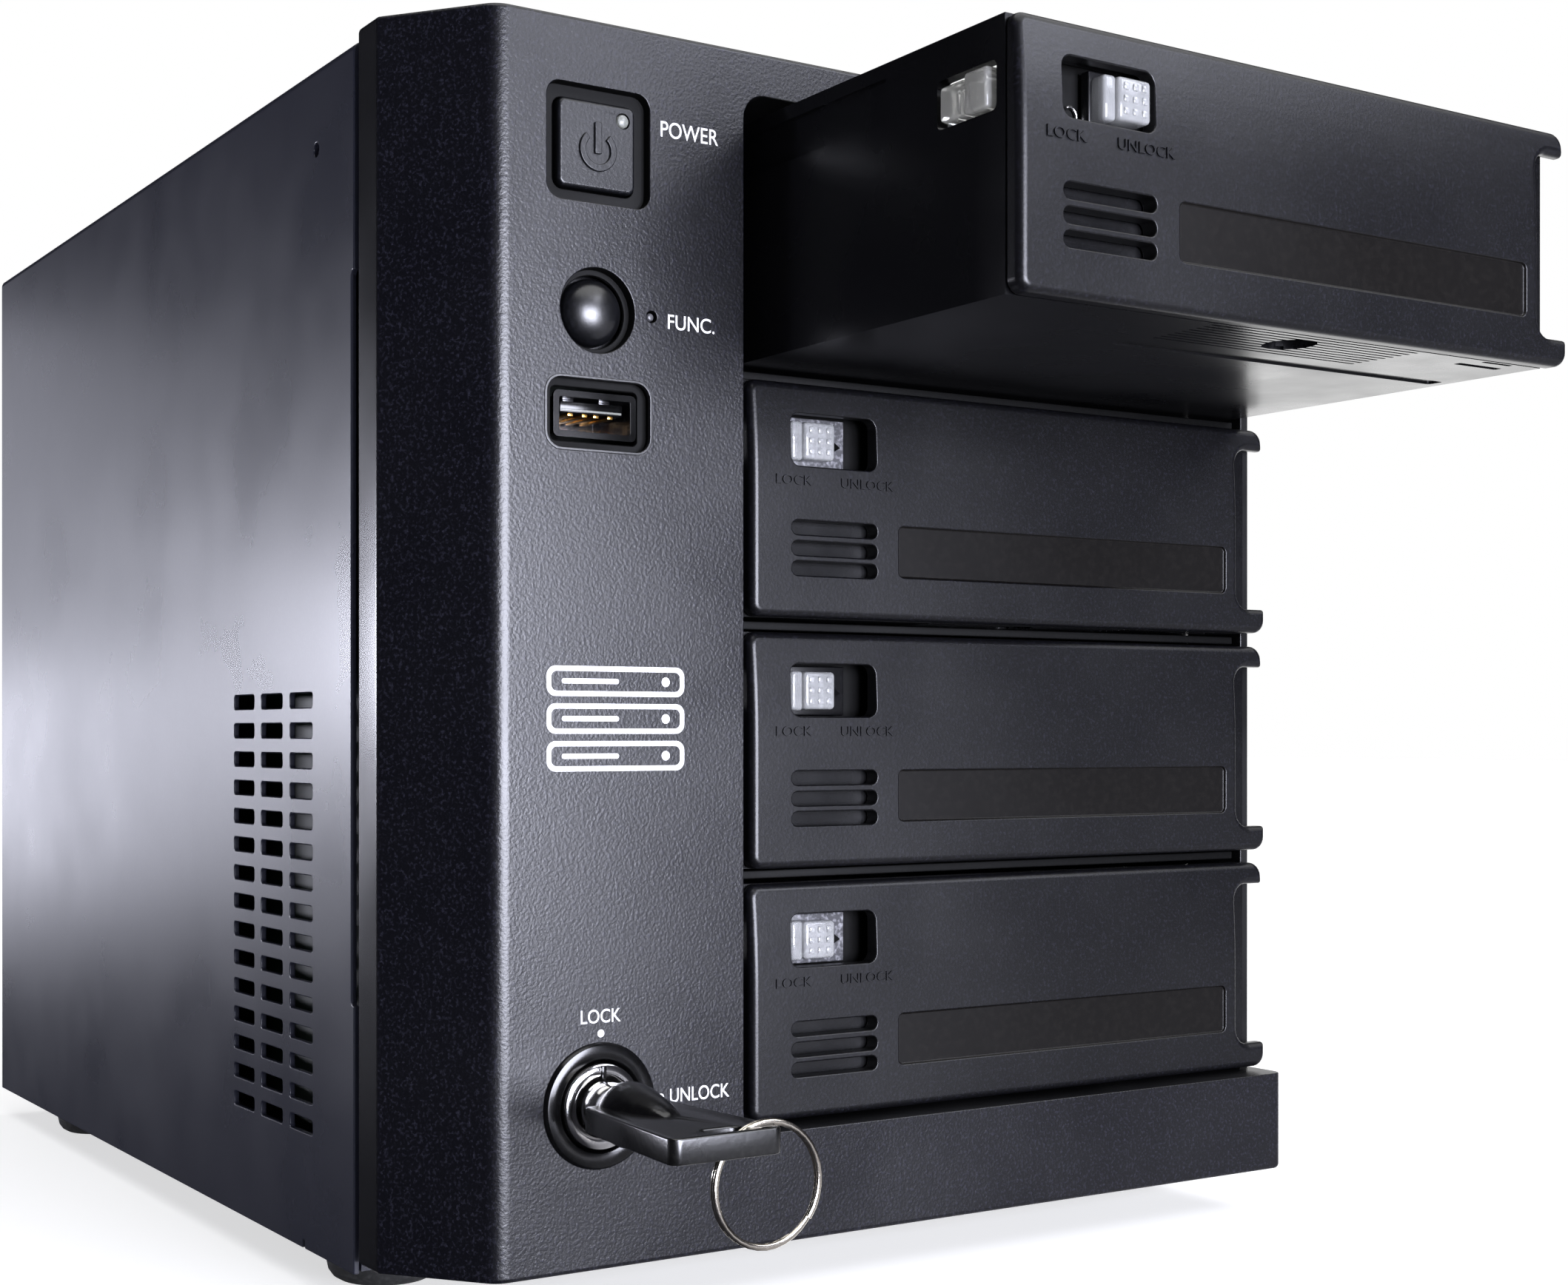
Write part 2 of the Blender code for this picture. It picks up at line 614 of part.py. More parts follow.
def make_boards(parts, cutters):
    """Backplane with a drive socket for each bay, mainboard and control board."""
    face = CAGE_REAR + 2.5 * MM
    high = (84 * MM, face + BOARD_THICK, 182 * MM)
    solid_box("backplane", (-30 * MM, face, 6 * MM), high, parts, board())
    for bay in range(1, BAYS + 1):
        floor = bay_floor(bay) + 8 * MM
        start = FACE_SET_BACK + SHELL_REAR + GAP
        low = (8 * MM, start, floor)
        solid_box(f"drive_socket_{bay}", low, (50 * MM, face - GAP, floor + 6 * MM), parts, black())
    left = -HALF + 8.0 * MM
    low = (left, 34 * MM, 14 * MM)
    solid_box("mainboard", low, (left + BOARD_THICK, 206 * MM, 170 * MM), parts, board())
    on_board = left + BOARD_THICK + GAP
    low = (on_board, 90 * MM, 80 * MM)
    sink = solid_box("heatsink", low, (on_board + 12 * MM, 130 * MM, 120 * MM), parts, bare_steel())
    slots = []
    for fin in range(6):
        start = 83 * MM + fin * 6 * MM
        slots.append(((on_board + 3 * MM, 89 * MM, start), (on_board + 13 * MM, 131 * MM, start + 4 * MM)))
    cut_boxes(sink, slots, cutters, "heatsink_fin_cut")
    low = (on_board, 60 * MM, 136 * MM)
    solid_box("memory_module", low, (on_board + 20 * MM, 127 * MM, 137.4 * MM), parts, board())
    low = (-72 * MM, 15.4 * MM, 118 * MM)
    solid_box("control_board", low, (-42 * MM, 17 * MM, 184 * MM), parts, board())


def make_power_button(parts, cutters):
    """Square push button with a stem, and the lamp set in its corner."""
    half = 6.7 * MM
    face = 0.5 * MM
    origin = (CONTROL_X, face, POWER_Z)
    x = CONTROL_X
    outline = rounded_outline(x - half, x + half, POWER_Z - half, POWER_Z + half, 1.2 * MM)
    button = slab("power_button", outline, "Y", face, face + 2.6 * MM, parts, black(), origin)
    low = (x - 2 * MM, face + 2 * MM, POWER_Z - 2 * MM)
    stem = [(low, (x + 2 * MM, BUTTON_REAR, POWER_Z + 2 * MM))]
    join_boxes(button, stem, cutters, "power_stem")
    light_x = CONTROL_X + 4.4 * MM
    light_z = POWER_Z + 4.4 * MM
    mesh = bmesh.new()
    rod_into(mesh, (light_x, face, light_z), (0, 1, 0), 1.2 * MM, 12 * MM, 16)
    boolean(button, finish("power_light_cut", mesh, cutters))
    mesh = bmesh.new()
    rod_into(mesh, (light_x, face + 1.3 * MM, light_z), (0, 1, 0), 1.0 * MM, 2.6 * MM, 16)
    look = material("grey_lens", (0.4, 0.42, 0.4), 0.3)
    finish("power_light", mesh, parts, look, (light_x, face, light_z), True)


def make_func_button(parts):
    """Round domed push button with a rear flange, and the small lamp beside it."""
    radius = 5.2 * MM
    crown = -0.6 * MM
    profile = []
    for step in range(7):
        angle = math.radians(15 * step)
        profile.append((radius * math.sin(angle), crown + radius * 0.6 * (1 - math.cos(angle))))
    profile += [(radius, 2.9 * MM), (6.2 * MM, 2.9 * MM), (6.2 * MM, 3.9 * MM), (2.0 * MM, 3.9 * MM)]
    profile += [(2.0 * MM, BUTTON_REAR), (0.0, BUTTON_REAR)]
    turned("func_button", profile, (FUNC_X, 0.0, FUNC_Z), parts, black(), 28)
    mesh = bmesh.new()
    centre = (FUNC_X + 9.6 * MM, 1.7 * MM, FUNC_Z)
    rod_into(mesh, centre, (0, 1, 0), 0.6 * MM, 3.4 * MM, 12)
    finish("func_light", mesh, parts, material("dark_lens", (0.05, 0.04, 0.04), 0.2), centre, True)


def make_front_usb(parts, cutters):
    """Type A socket: a folded shell with a flared mouth, and its contact tongue."""
    x = CONTROL_X
    mouth = 1.2 * MM
    rear = BUTTON_REAR
    low = (x - 6.6 * MM, mouth, USB_Z - 2.9 * MM)
    high = (x + 6.6 * MM, rear, USB_Z + 2.9 * MM)
    shell = solid_box("front_usb_shell", low, high, parts, bare_steel())
    low = (x - 7.25 * MM, mouth, USB_Z - 3.55 * MM)
    flare = [(low, (x + 7.25 * MM, mouth + 0.5 * MM, USB_Z + 3.55 * MM))]
    join_boxes(shell, flare, cutters, "usb_flare")
    low = (x - 6.25 * MM, mouth - 1 * MM, USB_Z - 2.56 * MM)
    inside = [(low, (x + 6.25 * MM, rear - 0.5 * MM, USB_Z + 2.56 * MM))]
    cut_boxes(shell, inside, cutters, "usb_inside_cut")
    low = (x - 5.55 * MM, mouth + 1.2 * MM, USB_Z + 0.35 * MM)
    solid_box("front_usb_tongue", low, (x + 5.55 * MM, rear - 0.8 * MM, USB_Z + 2.1 * MM), parts, black())


def make_lock(parts):
    """Round-key cam lock: flanged body, nut, turning plug and cam."""
    nose = LOCK_NOSE
    profile = [(7.0 * MM, nose), (9.2 * MM, nose), (9.7 * MM, nose + 0.5 * MM), (9.7 * MM, -GAP)]
    profile += [(8.1 * MM, -GAP), (8.1 * MM, 17.0 * MM), (7.0 * MM, 17.0 * MM)]
    centre = (CONTROL_X, 0.0, LOCK_Z)
    turned("lock_body", profile, centre, parts, black(), 32)
    nut = [(8.4 * MM, 2.8 * MM), (11.0 * MM, 2.8 * MM), (11.0 * MM, 5.8 * MM), (8.4 * MM, 5.8 * MM)]
    turned("lock_nut", nut, centre, parts, bare_steel(), 24)
    plug = [(0.0, 4.0 * MM), (4.6 * MM, 4.0 * MM), (4.6 * MM, PLUG_FACE), (6.3 * MM, PLUG_FACE)]
    plug += [(6.7 * MM, -1.0 * MM), (6.7 * MM, 19.0 * MM), (0.0, 19.0 * MM)]
    turned("lock_plug", plug, centre, parts, chrome(), 32)
    low = (CONTROL_X - 4 * MM, 19.3 * MM, LOCK_Z - 4 * MM)
    high = (CONTROL_X + 15 * MM, 21.0 * MM, LOCK_Z + 4 * MM)
    solid_box("lock_cam", low, high, parts, bare_steel(), (CONTROL_X, 19.3 * MM, LOCK_Z))


def make_key(parts, cutters):
    """Tubular key: steel tube, flat plastic head with a ring slot, and a wire ring."""
    tube = [(3.0 * MM, KEY_BACK - 1 * MM), (4.1 * MM, KEY_BACK - 1 * MM), (4.1 * MM, 3.6 * MM)]
    tube += [(3.0 * MM, 3.6 * MM)]
    turned("key_shaft", tube, (CONTROL_X, 0.0, LOCK_Z), parts, chrome(), 24)
    front_half = 9.4 * MM
    back_half = 7.0 * MM
    back = KEY_BACK - 1 * MM - GAP
    outline = [
        (CONTROL_X - front_half, KEY_FRONT + KEY_CORNER),
        (CONTROL_X - front_half + KEY_CORNER, KEY_FRONT),
        (CONTROL_X + front_half - KEY_CORNER, KEY_FRONT),
        (CONTROL_X + front_half, KEY_FRONT + KEY_CORNER),
        (CONTROL_X + back_half, back),
        (CONTROL_X - back_half, back),
    ]
    low = LOCK_Z - KEY_THICK / 2 - 0.3 * MM
    origin = (CONTROL_X, back, LOCK_Z)
    head = slab("key_head", outline, "Z", low, low + KEY_THICK, parts, black(), origin)
    mesh = bmesh.new()
    rod_into(mesh, (CONTROL_X, back - 6 * MM, LOCK_Z), (0, 1, 0), 5.0 * MM, 12 * MM, 20)
    boolean(head, finish("key_hub", mesh, cutters), "UNION")
    half = 3.4 * MM
    slot_x = RING_CENTRE[0] - 5.3 * MM
    slot_y = RING_CENTRE[1] + 0.05 * MM
    slot = rounded_outline(slot_x - half, slot_x + half, slot_y - 1.6 * MM, slot_y + 1.6 * MM, 1.2 * MM)
    boolean(head, slab("key_slot_cut", slot, "Z", low - 1 * MM, low + KEY_THICK + 1 * MM, cutters))
    bpy.ops.mesh.primitive_torus_add(
        major_radius=RING_RADIUS, minor_radius=RING_WIRE, major_segments=40, minor_segments=8,
        location=place(*RING_CENTRE), rotation=(math.radians(90), 0, 0),
    )
    ring = bpy.context.object
    ring.name = "key_ring"
    for group in list(ring.users_collection):
        group.objects.unlink(ring)
    parts.objects.link(ring)
    ring.data.materials.append(bare_steel())


def make_cartridge(bay, parts, cutters):
    """One cartridge: face, shell, latch slider, latch bolt and hard drive."""
    drawn = TOP_DRAWN_OUT if bay == 1 else 0.0
    face = FACE_SET_BACK - drawn
    floor = bay_floor(bay)
    make_cartridge_front(bay, face, floor, parts, cutters)
    make_cartridge_shell(bay, face, floor, parts, cutters)
    unlocked = bay == 1
    make_latch(bay, face, floor, unlocked, parts, cutters)
    width, length, height = DRIVE_SIZE
    middle = (CART_LEFT + CART_RIGHT) / 2
    start = face + SHELL_REAR - length - 1 * MM
    low = (middle - width / 2, start, floor + 5 * MM)
    high = (middle + width / 2, start + length, floor + 5 * MM + height)
    solid_box(f"hard_drive_{bay}", low, high, parts, bare_steel(), None, 1.0 * MM)


def make_cartridge_front(bay, face, floor, parts, cutters):
    """Moulded face with the latch window, vents, label recess and finger grip."""
    radius = 1.5 * MM
    top = floor + CART_HEIGHT
    outline = [(CART_LEFT + radius, floor), (FACE_RIGHT - radius, floor), (FACE_RIGHT, floor + radius)]
    outline += [(FACE_RIGHT, floor + GRIP_LOW)]
    for start, centre_z in ((270, floor + GRIP_LOW + GRIP_RADIUS), (180, floor + GRIP_HIGH - GRIP_RADIUS)):
        for step in range(5):
            angle = math.radians(start - 90 * step / 4)
            x = GRIP_LEFT + GRIP_RADIUS + GRIP_RADIUS * math.cos(angle)
            outline.append((x, centre_z + GRIP_RADIUS * math.sin(angle)))
    outline += [(FACE_RIGHT, floor + GRIP_HIGH), (FACE_RIGHT, top - radius), (FACE_RIGHT - radius, top)]
    outline += [(CART_LEFT + radius, top), (CART_LEFT, top - radius), (CART_LEFT, floor + radius)]
    front = slab(f"cartridge_front_{bay}", outline, "Y", face, face + FACE_THICK, parts, plastic())
    x0, x1, z0, z1 = WINDOW
    window = rounded_outline(x0, x1, floor + z0, floor + z1, 1.6 * MM, 3)
    before = face - 1 * MM
    after = face + FACE_THICK + 1 * MM
    boolean(front, slab(f"window_cut_{bay}", window, "Y", before, after, cutters))
    for index, low in enumerate(SLOT_LOWS):
        slot = rounded_outline(x0, x1, floor + low, floor + low + SLOT_HEIGHT, SLOT_HEIGHT / 2 - 0.05 * MM, 2)
        boolean(front, slab(f"slot_cut_{bay}_{index}", slot, "Y", before, after, cutters))
    x0, x1, z0, z1 = LABEL
    recess = [((x0, before, floor + z0), (x1, face + 0.5 * MM, floor + z1))]
    cut_boxes(front, recess, cutters, f"label_cut_{bay}")


def make_cartridge_shell(bay, face, floor, parts, cutters):
    """Open-topped tray that carries the drive, with the bolt window in its left side."""
    start = face + FACE_THICK + GAP
    rear = face + SHELL_REAR
    low = (CART_LEFT, start, floor)
    high = (SHELL_RIGHT, rear, floor + CART_HEIGHT)
    shell = solid_box(f"cartridge_shell_{bay}", low, high, parts, plastic(), (0.0, face, floor))
    wall = SHELL_WALL
    low = (CART_LEFT + wall, start + wall, floor + wall)
    inside = [(low, (SHELL_RIGHT - wall, rear + 1 * MM, floor + CART_HEIGHT + 1 * MM))]
    cut_boxes(shell, inside, cutters, f"shell_hollow_cut_{bay}")
    bolt_low = (CART_LEFT - 1 * MM, face + 5.0 * MM, floor + 25.8 * MM)
    bolt_high = (CART_LEFT + wall + 1 * MM, face + 18.0 * MM, floor + 32.8 * MM)
    latch_low = (-24.0 * MM, start - 1 * MM, floor + 24.4 * MM)
    latch_high = (8.0 * MM, start + wall + 1 * MM, floor + 34.1 * MM)
    cut_boxes(shell, [(bolt_low, bolt_high), (latch_low, latch_high)], cutters, f"shell_window_cut_{bay}")
    mesh = bmesh.new()
    rod_into(mesh, (34.4 * MM, face + 10.2 * MM, floor + 1 * MM), (0, 0, 1), 4.2 * MM, 4 * MM, 16)
    boolean(shell, finish(f"shell_hole_cut_{bay}", mesh, cutters))


def make_latch(bay, face, floor, unlocked, parts, cutters):
    """Clear slider with a ribbed knob, and the bolt that it draws in or pushes out."""
    shift = LATCH_TRAVEL if unlocked else 0.0
    knob = LOCKED_KNOB_X + shift
    middle = floor + 29.2 * MM
    low = (knob - 3.15 * MM, face + 0.3 * MM, middle - 3.1 * MM)
    high = (knob + 3.15 * MM, face + 4.5 * MM, middle + 3.1 * MM)
    slider = solid_box(f"latch_slider_{bay}", low, high, parts, clear_plastic(), (knob, face, middle))
    behind = face + FACE_THICK
    low = (knob - 6.2 * MM, behind + 0.6 * MM, middle - 4.2 * MM)
    plate = [(low, (knob + 7.2 * MM, behind + 2.4 * MM, middle + 4.2 * MM))]
    join_boxes(slider, plate, cutters, f"latch_plate_{bay}")
    tip = CART_LEFT - 0.8 * MM
    if not unlocked:
        tip -= BOLT_TRAVEL
    low = (tip, face + 6.2 * MM, floor + 26.3 * MM)
    high = (tip + 7.5 * MM, face + 17.3 * MM, floor + 32.3 * MM)
    solid_box(f"latch_bolt_{bay}", low, high, parts, clear_plastic(), (tip, face, middle))


def main():
    """Build every piece."""
    clear_scene()
    parts = new_collection("nas_enclosure")
    cutters = new_collection("cutters")
    make_bezel(parts, cutters)
    make_cover(parts, cutters)
    make_tray(parts, cutters)
    make_feet(parts)
    make_rear_panel(parts, cutters)
    make_panel_screws(parts)
    make_fan(parts, cutters)
    make_rear_sockets(parts, cutters)
    make_cage(parts, cutters)
    make_boards(parts, cutters)
    make_power_button(parts, cutters)
    make_func_button(parts)
    make_front_usb(parts, cutters)
    make_lock(parts)
    make_key(parts, cutters)
    for bay in range(1, BAYS + 1):
        make_cartridge(bay, parts, cutters)


main()
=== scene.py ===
"""Looks for the network storage enclosure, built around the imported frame.

Places are in millimetres: x from the middle, y from the front plane, z from the bezel's bottom edge.
"""

import json
import math

import bmesh
import bpy
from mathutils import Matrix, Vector

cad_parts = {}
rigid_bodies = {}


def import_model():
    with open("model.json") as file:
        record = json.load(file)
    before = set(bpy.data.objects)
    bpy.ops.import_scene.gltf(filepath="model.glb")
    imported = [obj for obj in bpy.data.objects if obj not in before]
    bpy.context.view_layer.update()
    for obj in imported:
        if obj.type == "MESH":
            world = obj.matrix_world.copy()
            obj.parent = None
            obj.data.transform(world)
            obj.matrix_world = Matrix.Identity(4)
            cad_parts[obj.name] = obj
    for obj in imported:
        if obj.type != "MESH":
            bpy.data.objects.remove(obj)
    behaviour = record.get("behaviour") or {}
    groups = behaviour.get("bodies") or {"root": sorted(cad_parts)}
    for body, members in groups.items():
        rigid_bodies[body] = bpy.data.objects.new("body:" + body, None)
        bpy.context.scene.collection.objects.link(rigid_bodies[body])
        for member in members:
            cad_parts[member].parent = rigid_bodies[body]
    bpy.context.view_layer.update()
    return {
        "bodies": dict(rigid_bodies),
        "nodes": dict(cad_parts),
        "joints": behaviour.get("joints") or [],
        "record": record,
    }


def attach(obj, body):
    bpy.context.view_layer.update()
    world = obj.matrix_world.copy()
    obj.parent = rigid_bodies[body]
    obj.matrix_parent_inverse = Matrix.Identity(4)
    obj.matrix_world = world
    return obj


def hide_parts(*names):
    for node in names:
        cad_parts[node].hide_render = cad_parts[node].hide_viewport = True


MM = 0.001
FRONT = -86.4  # the front plane in the frame
FOOT = 8.0  # the bezel's bottom edge above the floor
HALF = 89.3  # half the width of the cover
BEZEL_BACK = 23.0
BEZEL_TOP = 190.6
COVER_FRONT = 24.4
COVER_BACK = 232.5
COVER_TOP = 189.2
COVER_LOW = -1.9
PANEL_BACK = 231.7
BAY_LEFT = -33.0
BAY_RIGHT = 87.3
BAY_LOW = 18.0
BAY_HIGH = 183.7
PITCH = 41.18  # from one cartridge to the next
TOP_FLOOR = 142.2  # underside of the top cartridge
SET_BACK = 4.4  # face of a shut cartridge, behind the front plane
DRAWN = 65.4  # how far the top cartridge is out
CARTRIDGE_LEFT = -28.5
CARTRIDGE_HIGH = 38.7
SCOOP_LEFT = 81.9  # the finger scoop at the right end of a face
SCOOP_LOW = 4.5
SCOOP_HIGH = 34.7
CROWN = 0.0030  # how the top of a face falls back, per millimetre squared
CROWN_FROM = 20.0
FACE_ROUND = 1.35
FACE_STEPS = 5
FACE_BACK = 2.9
WINDOW = (-20.6, -3.2)  # left and right end of the latch window and the grip slots
KNOB_LOCKED = -14.7
KNOB_OPEN = -7.0
BOLT_TIP = -29.3
BOLT_TRAVEL = 3.5
DRIVE_WIDE = 101.6
DRIVE_LONG = 147.0
CONTROL_X = -59.5
LOCK_Z = 25.2
POWER_Z = 171.6
POWER_LAMP = (4.5, 4.4)  # from the middle of the power button
FUNC = (-59.7, 146.4)
FUNC_LAMP_X = FUNC[0] + 9.6
USB_Z = 130.5
RING = (-51.4, -33.5, 18.3)
RING_RADIUS = 8.85
RING_TURNS = 1.93
RING_PITCH = 0.54
FAN = (28.0, 96.0)
BLADES = 7
PRINT_HALF = 0.02  # half the thickness of a printed mark
SHARP = math.radians(32)

CAMERA_PLACE = (-0.22284, -0.37163, 0.08989)
CAMERA_TURN = (89.936, 0.0, -31.706)
CAMERA_LENS = 49.49
CAMERA_SHIFT = (0.0721, 0.0598)
ROOM_DARK = (0.020, 0.020, 0.025)
ROOM_FRONT = (0.40, 0.40, 0.44)  # low and to the right
ROOM_GLOW = (1.9, 1.9, 1.9)  # bright wall
GLOW_TOWARD = (0.70, 0.69, -0.17)
LIGHTS = (
    # name, place, target, width, height, watts, colour
    ("back_left", (-0.775, 0.905, 0.146), (-0.089, -0.066, 0.10), 0.34, 0.085, 5.4, (0.86, 0.87, 1.0)),
    ("back_low", (-0.40, 1.27, 0.06), (-0.089, 0.12, 0.07), 0.26, 0.17, 0.50, (0.86, 0.87, 1.0)),
    ("back_wide", (-0.26, 1.32, 0.16), (-0.089, 0.12, 0.10), 0.50, 0.50, 0.9, (0.86, 0.87, 1.0)),
    ("front_soft", (0.03, -0.98, 0.125), (-0.06, -0.086, 0.10), 0.56, 0.42, 22.5, (0.84, 0.86, 1.0)),
    ("front_high", (0.468, -0.786, 0.66), (-0.02, -0.09, 0.12), 0.50, 0.30, 3.2, (0.86, 0.88, 1.0)),
)


# ---------------------------------------------------------------- materials


def node_tree(name):
    """A new material with an empty Principled shader."""
    made = bpy.data.materials.new(name)
    made.use_nodes = True
    return made, made.node_tree, made.node_tree.nodes["Principled BSDF"]


def grain_height(tree, scale, detail=2.0):
    """A noise in object space, in features per metre."""
    where = tree.nodes.new("ShaderNodeTexCoord")
    noise = tree.nodes.new("ShaderNodeTexNoise")
    noise.inputs["Scale"].default_value = scale
    noise.inputs["Detail"].default_value = detail
    tree.links.new(where.outputs["Object"], noise.inputs["Vector"])
    return noise.outputs["Fac"]


def ranged(tree, source, low, high, from_low=0.3, from_high=0.7):
    """Map a noise to a range of values."""
    step = tree.nodes.new("ShaderNodeMapRange")
    step.inputs["From Min"].default_value = from_low
    step.inputs["From Max"].default_value = from_high
    step.inputs["To Min"].default_value = low
    step.inputs["To Max"].default_value = high
    tree.links.new(source, step.inputs["Value"])
    return step.outputs["Result"]


def blend_colour(tree, factor, first, second):
    """Mix two colours by a factor from 0 to 1."""
    mix = tree.nodes.new("ShaderNodeMix")
    mix.data_type = "RGBA"
    mix.inputs["A"].default_value = (*first, 1)
    mix.inputs["B"].default_value = (*second, 1)
    tree.links.new(factor, mix.inputs["Factor"])
    return mix.outputs["Result"]


def surface(name, colour, fleck, rough, metallic=0.0, grain=2600.0, bump=0.25, depth=0.00006,
            rough_spread=0.08, fleck_range=(0.45, 0.72), specular=0.5, coat=0.0):
    """Moulded or painted surface: colour flecks, uneven sheen and a fine bumpy grain."""
    made, tree, shader = node_tree(name)
    fine = grain_height(tree, grain)
    flecks = ranged(tree, fine, 0.0, 1.0, *fleck_range)
    tree.links.new(blend_colour(tree, flecks, colour, fleck), shader.inputs["Base Color"])
    broad = grain_height(tree, 38.0, 4.0)
    sheen = ranged(tree, broad, rough - rough_spread, rough + rough_spread)
    tree.links.new(sheen, shader.inputs["Roughness"])
    shader.inputs["Metallic"].default_value = metallic
    shader.inputs["Specular IOR Level"].default_value = specular
    shader.inputs["Coat Weight"].default_value = coat
    bumped = tree.nodes.new("ShaderNodeBump")
    bumped.inputs["Strength"].default_value = bump
    bumped.inputs["Distance"].default_value = depth
    tree.links.new(fine, bumped.inputs["Height"])
    tree.links.new(bumped.outputs["Normal"], shader.inputs["Normal"])
    return made


def clear(name, colour, rough, transmission):
    """Clear moulded plastic with faint clouding."""
    made, tree, shader = node_tree(name)
    cloud = grain_height(tree, 420.0, 3.0)
    pale = tuple(min(1.0, part * 1.15) for part in colour)
    mottle = blend_colour(tree, ranged(tree, cloud, 0, 1), colour, pale)
    tree.links.new(mottle, shader.inputs["Base Color"])
    tree.links.new(ranged(tree, cloud, rough * 0.6, rough * 1.6), shader.inputs["Roughness"])
    shader.inputs["Transmission Weight"].default_value = transmission
    shader.inputs["IOR"].default_value = 1.49
    return made


def housing_looks():
    """Plastics, paint and rubber of the enclosure and its cartridges."""
    return {
        # front plastic: its bright flecks are partly real grain and partly painted glints for the face's
        # sparkle
        "front": surface("front_plastic", (0.0016, 0.0016, 0.0028), (0.011, 0.011, 0.018), 0.31, grain=2000,
                         bump=0.55, depth=0.00008, rough_spread=0.04, fleck_range=(0.52, 0.78)),
        "side": surface("bezel_side", (0.0022, 0.0022, 0.0028), (0.006, 0.006, 0.008), 0.24, grain=1800,
                        bump=0.10, depth=0.00002, rough_spread=0.03),
        "bay": surface("bay_plastic", (0.0018, 0.0018, 0.002), (0.003, 0.003, 0.0035), 0.35, bump=0.1),
        "cover": surface("cover_paint", (0.013, 0.014, 0.023), (0.019, 0.020, 0.031), 0.29, grain=2200,
                         bump=0.07, depth=0.00004, rough_spread=0.03, fleck_range=(0.5, 0.8)),
        "cartridge": surface("cartridge_plastic", (0.002, 0.002, 0.0026), (0.008, 0.008, 0.012), 0.33,
                             grain=2000, bump=0.30, depth=0.00005, rough_spread=0.03,
                             fleck_range=(0.52, 0.8), specular=0.4),
        "shell": surface("shell_plastic", (0.0016, 0.0016, 0.002), (0.004, 0.004, 0.005), 0.26, bump=0.1),
        "label": surface("label_recess", (0.0022, 0.0018, 0.0016), (0.004, 0.0034, 0.003), 0.33, grain=900,
                         bump=0.03, rough_spread=0.02, specular=0.26),
        "gloss": surface("gloss_black", (0.0015, 0.0015, 0.0015), (0.003, 0.003, 0.0035), 0.14, grain=1500,
                         bump=0.03),
        # painted shade: near-black, matte and barely reflecting, for recess walls, the slits between bays and
        # the space behind the latch windows
        "painted_shade": surface("painted_shade_black", (0.001, 0.001, 0.001), (0.002, 0.002, 0.002), 0.6, grain=1500,
                        bump=0.05, specular=0.15),
        # near-black cage: painted shade for the dark inside of the enclosure
        "cage": surface("cage_painted_shade", (0.002, 0.002, 0.002), (0.004, 0.004, 0.004), 0.6, grain=1800,
                        bump=0.1, specular=0.2),
        "rubber": surface("foot_rubber", (0.010, 0.010, 0.010), (0.022, 0.022, 0.022), 0.75, grain=1400,
                          bump=0.35),
        "fan": surface("fan_plastic", (0.010, 0.010, 0.011), (0.03, 0.03, 0.032), 0.4, grain=2200, bump=0.2),
    }


def control_looks():
    """Buttons, key, print, lamps and clear latches."""
    return {
        "button": surface("button_plastic", (0.0022, 0.0024, 0.0034), (0.009, 0.0095, 0.013), 0.33,
                          grain=1700, bump=0.5, depth=0.00008, rough_spread=0.04, fleck_range=(0.52, 0.8)),
        "dome": surface("dome_plastic", (0.0015, 0.0016, 0.0022), (0.004, 0.0042, 0.006), 0.31, grain=1800,
                        bump=0.2, specular=0.9),
        "key": surface("key_plastic", (0.0018, 0.0018, 0.0018), (0.005, 0.005, 0.0046), 0.25, grain=1400,
                       bump=0.18, depth=0.0001, rough_spread=0.06, specular=0.8),
        "print": surface("white_print", (0.55, 0.55, 0.56), (0.64, 0.64, 0.65), 0.6, grain=3000, bump=0.1),
        "lens": surface("grey_lens", (0.13, 0.135, 0.125), (0.20, 0.205, 0.19), 0.35, grain=3200, bump=0.2,
                        coat=0.2),
        "dark_lens": surface("dark_lens", (0.05, 0.05, 0.055), (0.08, 0.08, 0.085), 0.3, grain=2000,
                             bump=0.05),
        "plate": surface("latch_plate", (0.05, 0.05, 0.055), (0.22, 0.22, 0.24), 0.4, grain=1500, bump=0.5,
                         depth=0.0001),
        "clear": clear("clear_plastic", (0.62, 0.63, 0.64), 0.13, 0.74),
        "bolt": clear("bolt_plastic", (0.82, 0.82, 0.80), 0.10, 0.82),
    }


def metal_looks():
    """Bare and plated metals, and the circuit boards."""
    return {
        "chrome": surface("chrome", (0.78, 0.77, 0.76), (0.86, 0.85, 0.84), 0.09, 1.0, 600, 0.02),
        "steel": surface("plated_steel", (0.55, 0.56, 0.57), (0.68, 0.68, 0.68), 0.28, 1.0, 900, 0.08),
        "wire": surface("ring_wire", (0.72, 0.66, 0.56), (0.86, 0.80, 0.70), 0.18, 1.0, 1800, 0.15,
                        depth=0.00005, rough_spread=0.06),
        "gold": surface("gold_contact", (0.75, 0.42, 0.10), (0.9, 0.56, 0.18), 0.22, 1.0, 1500, 0.05),
        "socket": surface("socket_steel", (0.20, 0.20, 0.21), (0.30, 0.30, 0.31), 0.20, 1.0, 1500, 0.05),
        "aluminium": surface("drive_aluminium", (0.50, 0.51, 0.52), (0.60, 0.61, 0.62), 0.33, 1.0, 700, 0.1),
        # dark solder mask, darkened further as painted shade for the inside behind the vents
        "board": surface("circuit_board", (0.002, 0.007, 0.004), (0.004, 0.011, 0.006), 0.55, grain=500,
                         bump=0.05),
    }


# ---------------------------------------------------------------- geometry helpers


def at(x, y, z):
    """A place in the shared frame."""
    return Vector((x * MM, (FRONT + y) * MM, (FOOT + z) * MM))


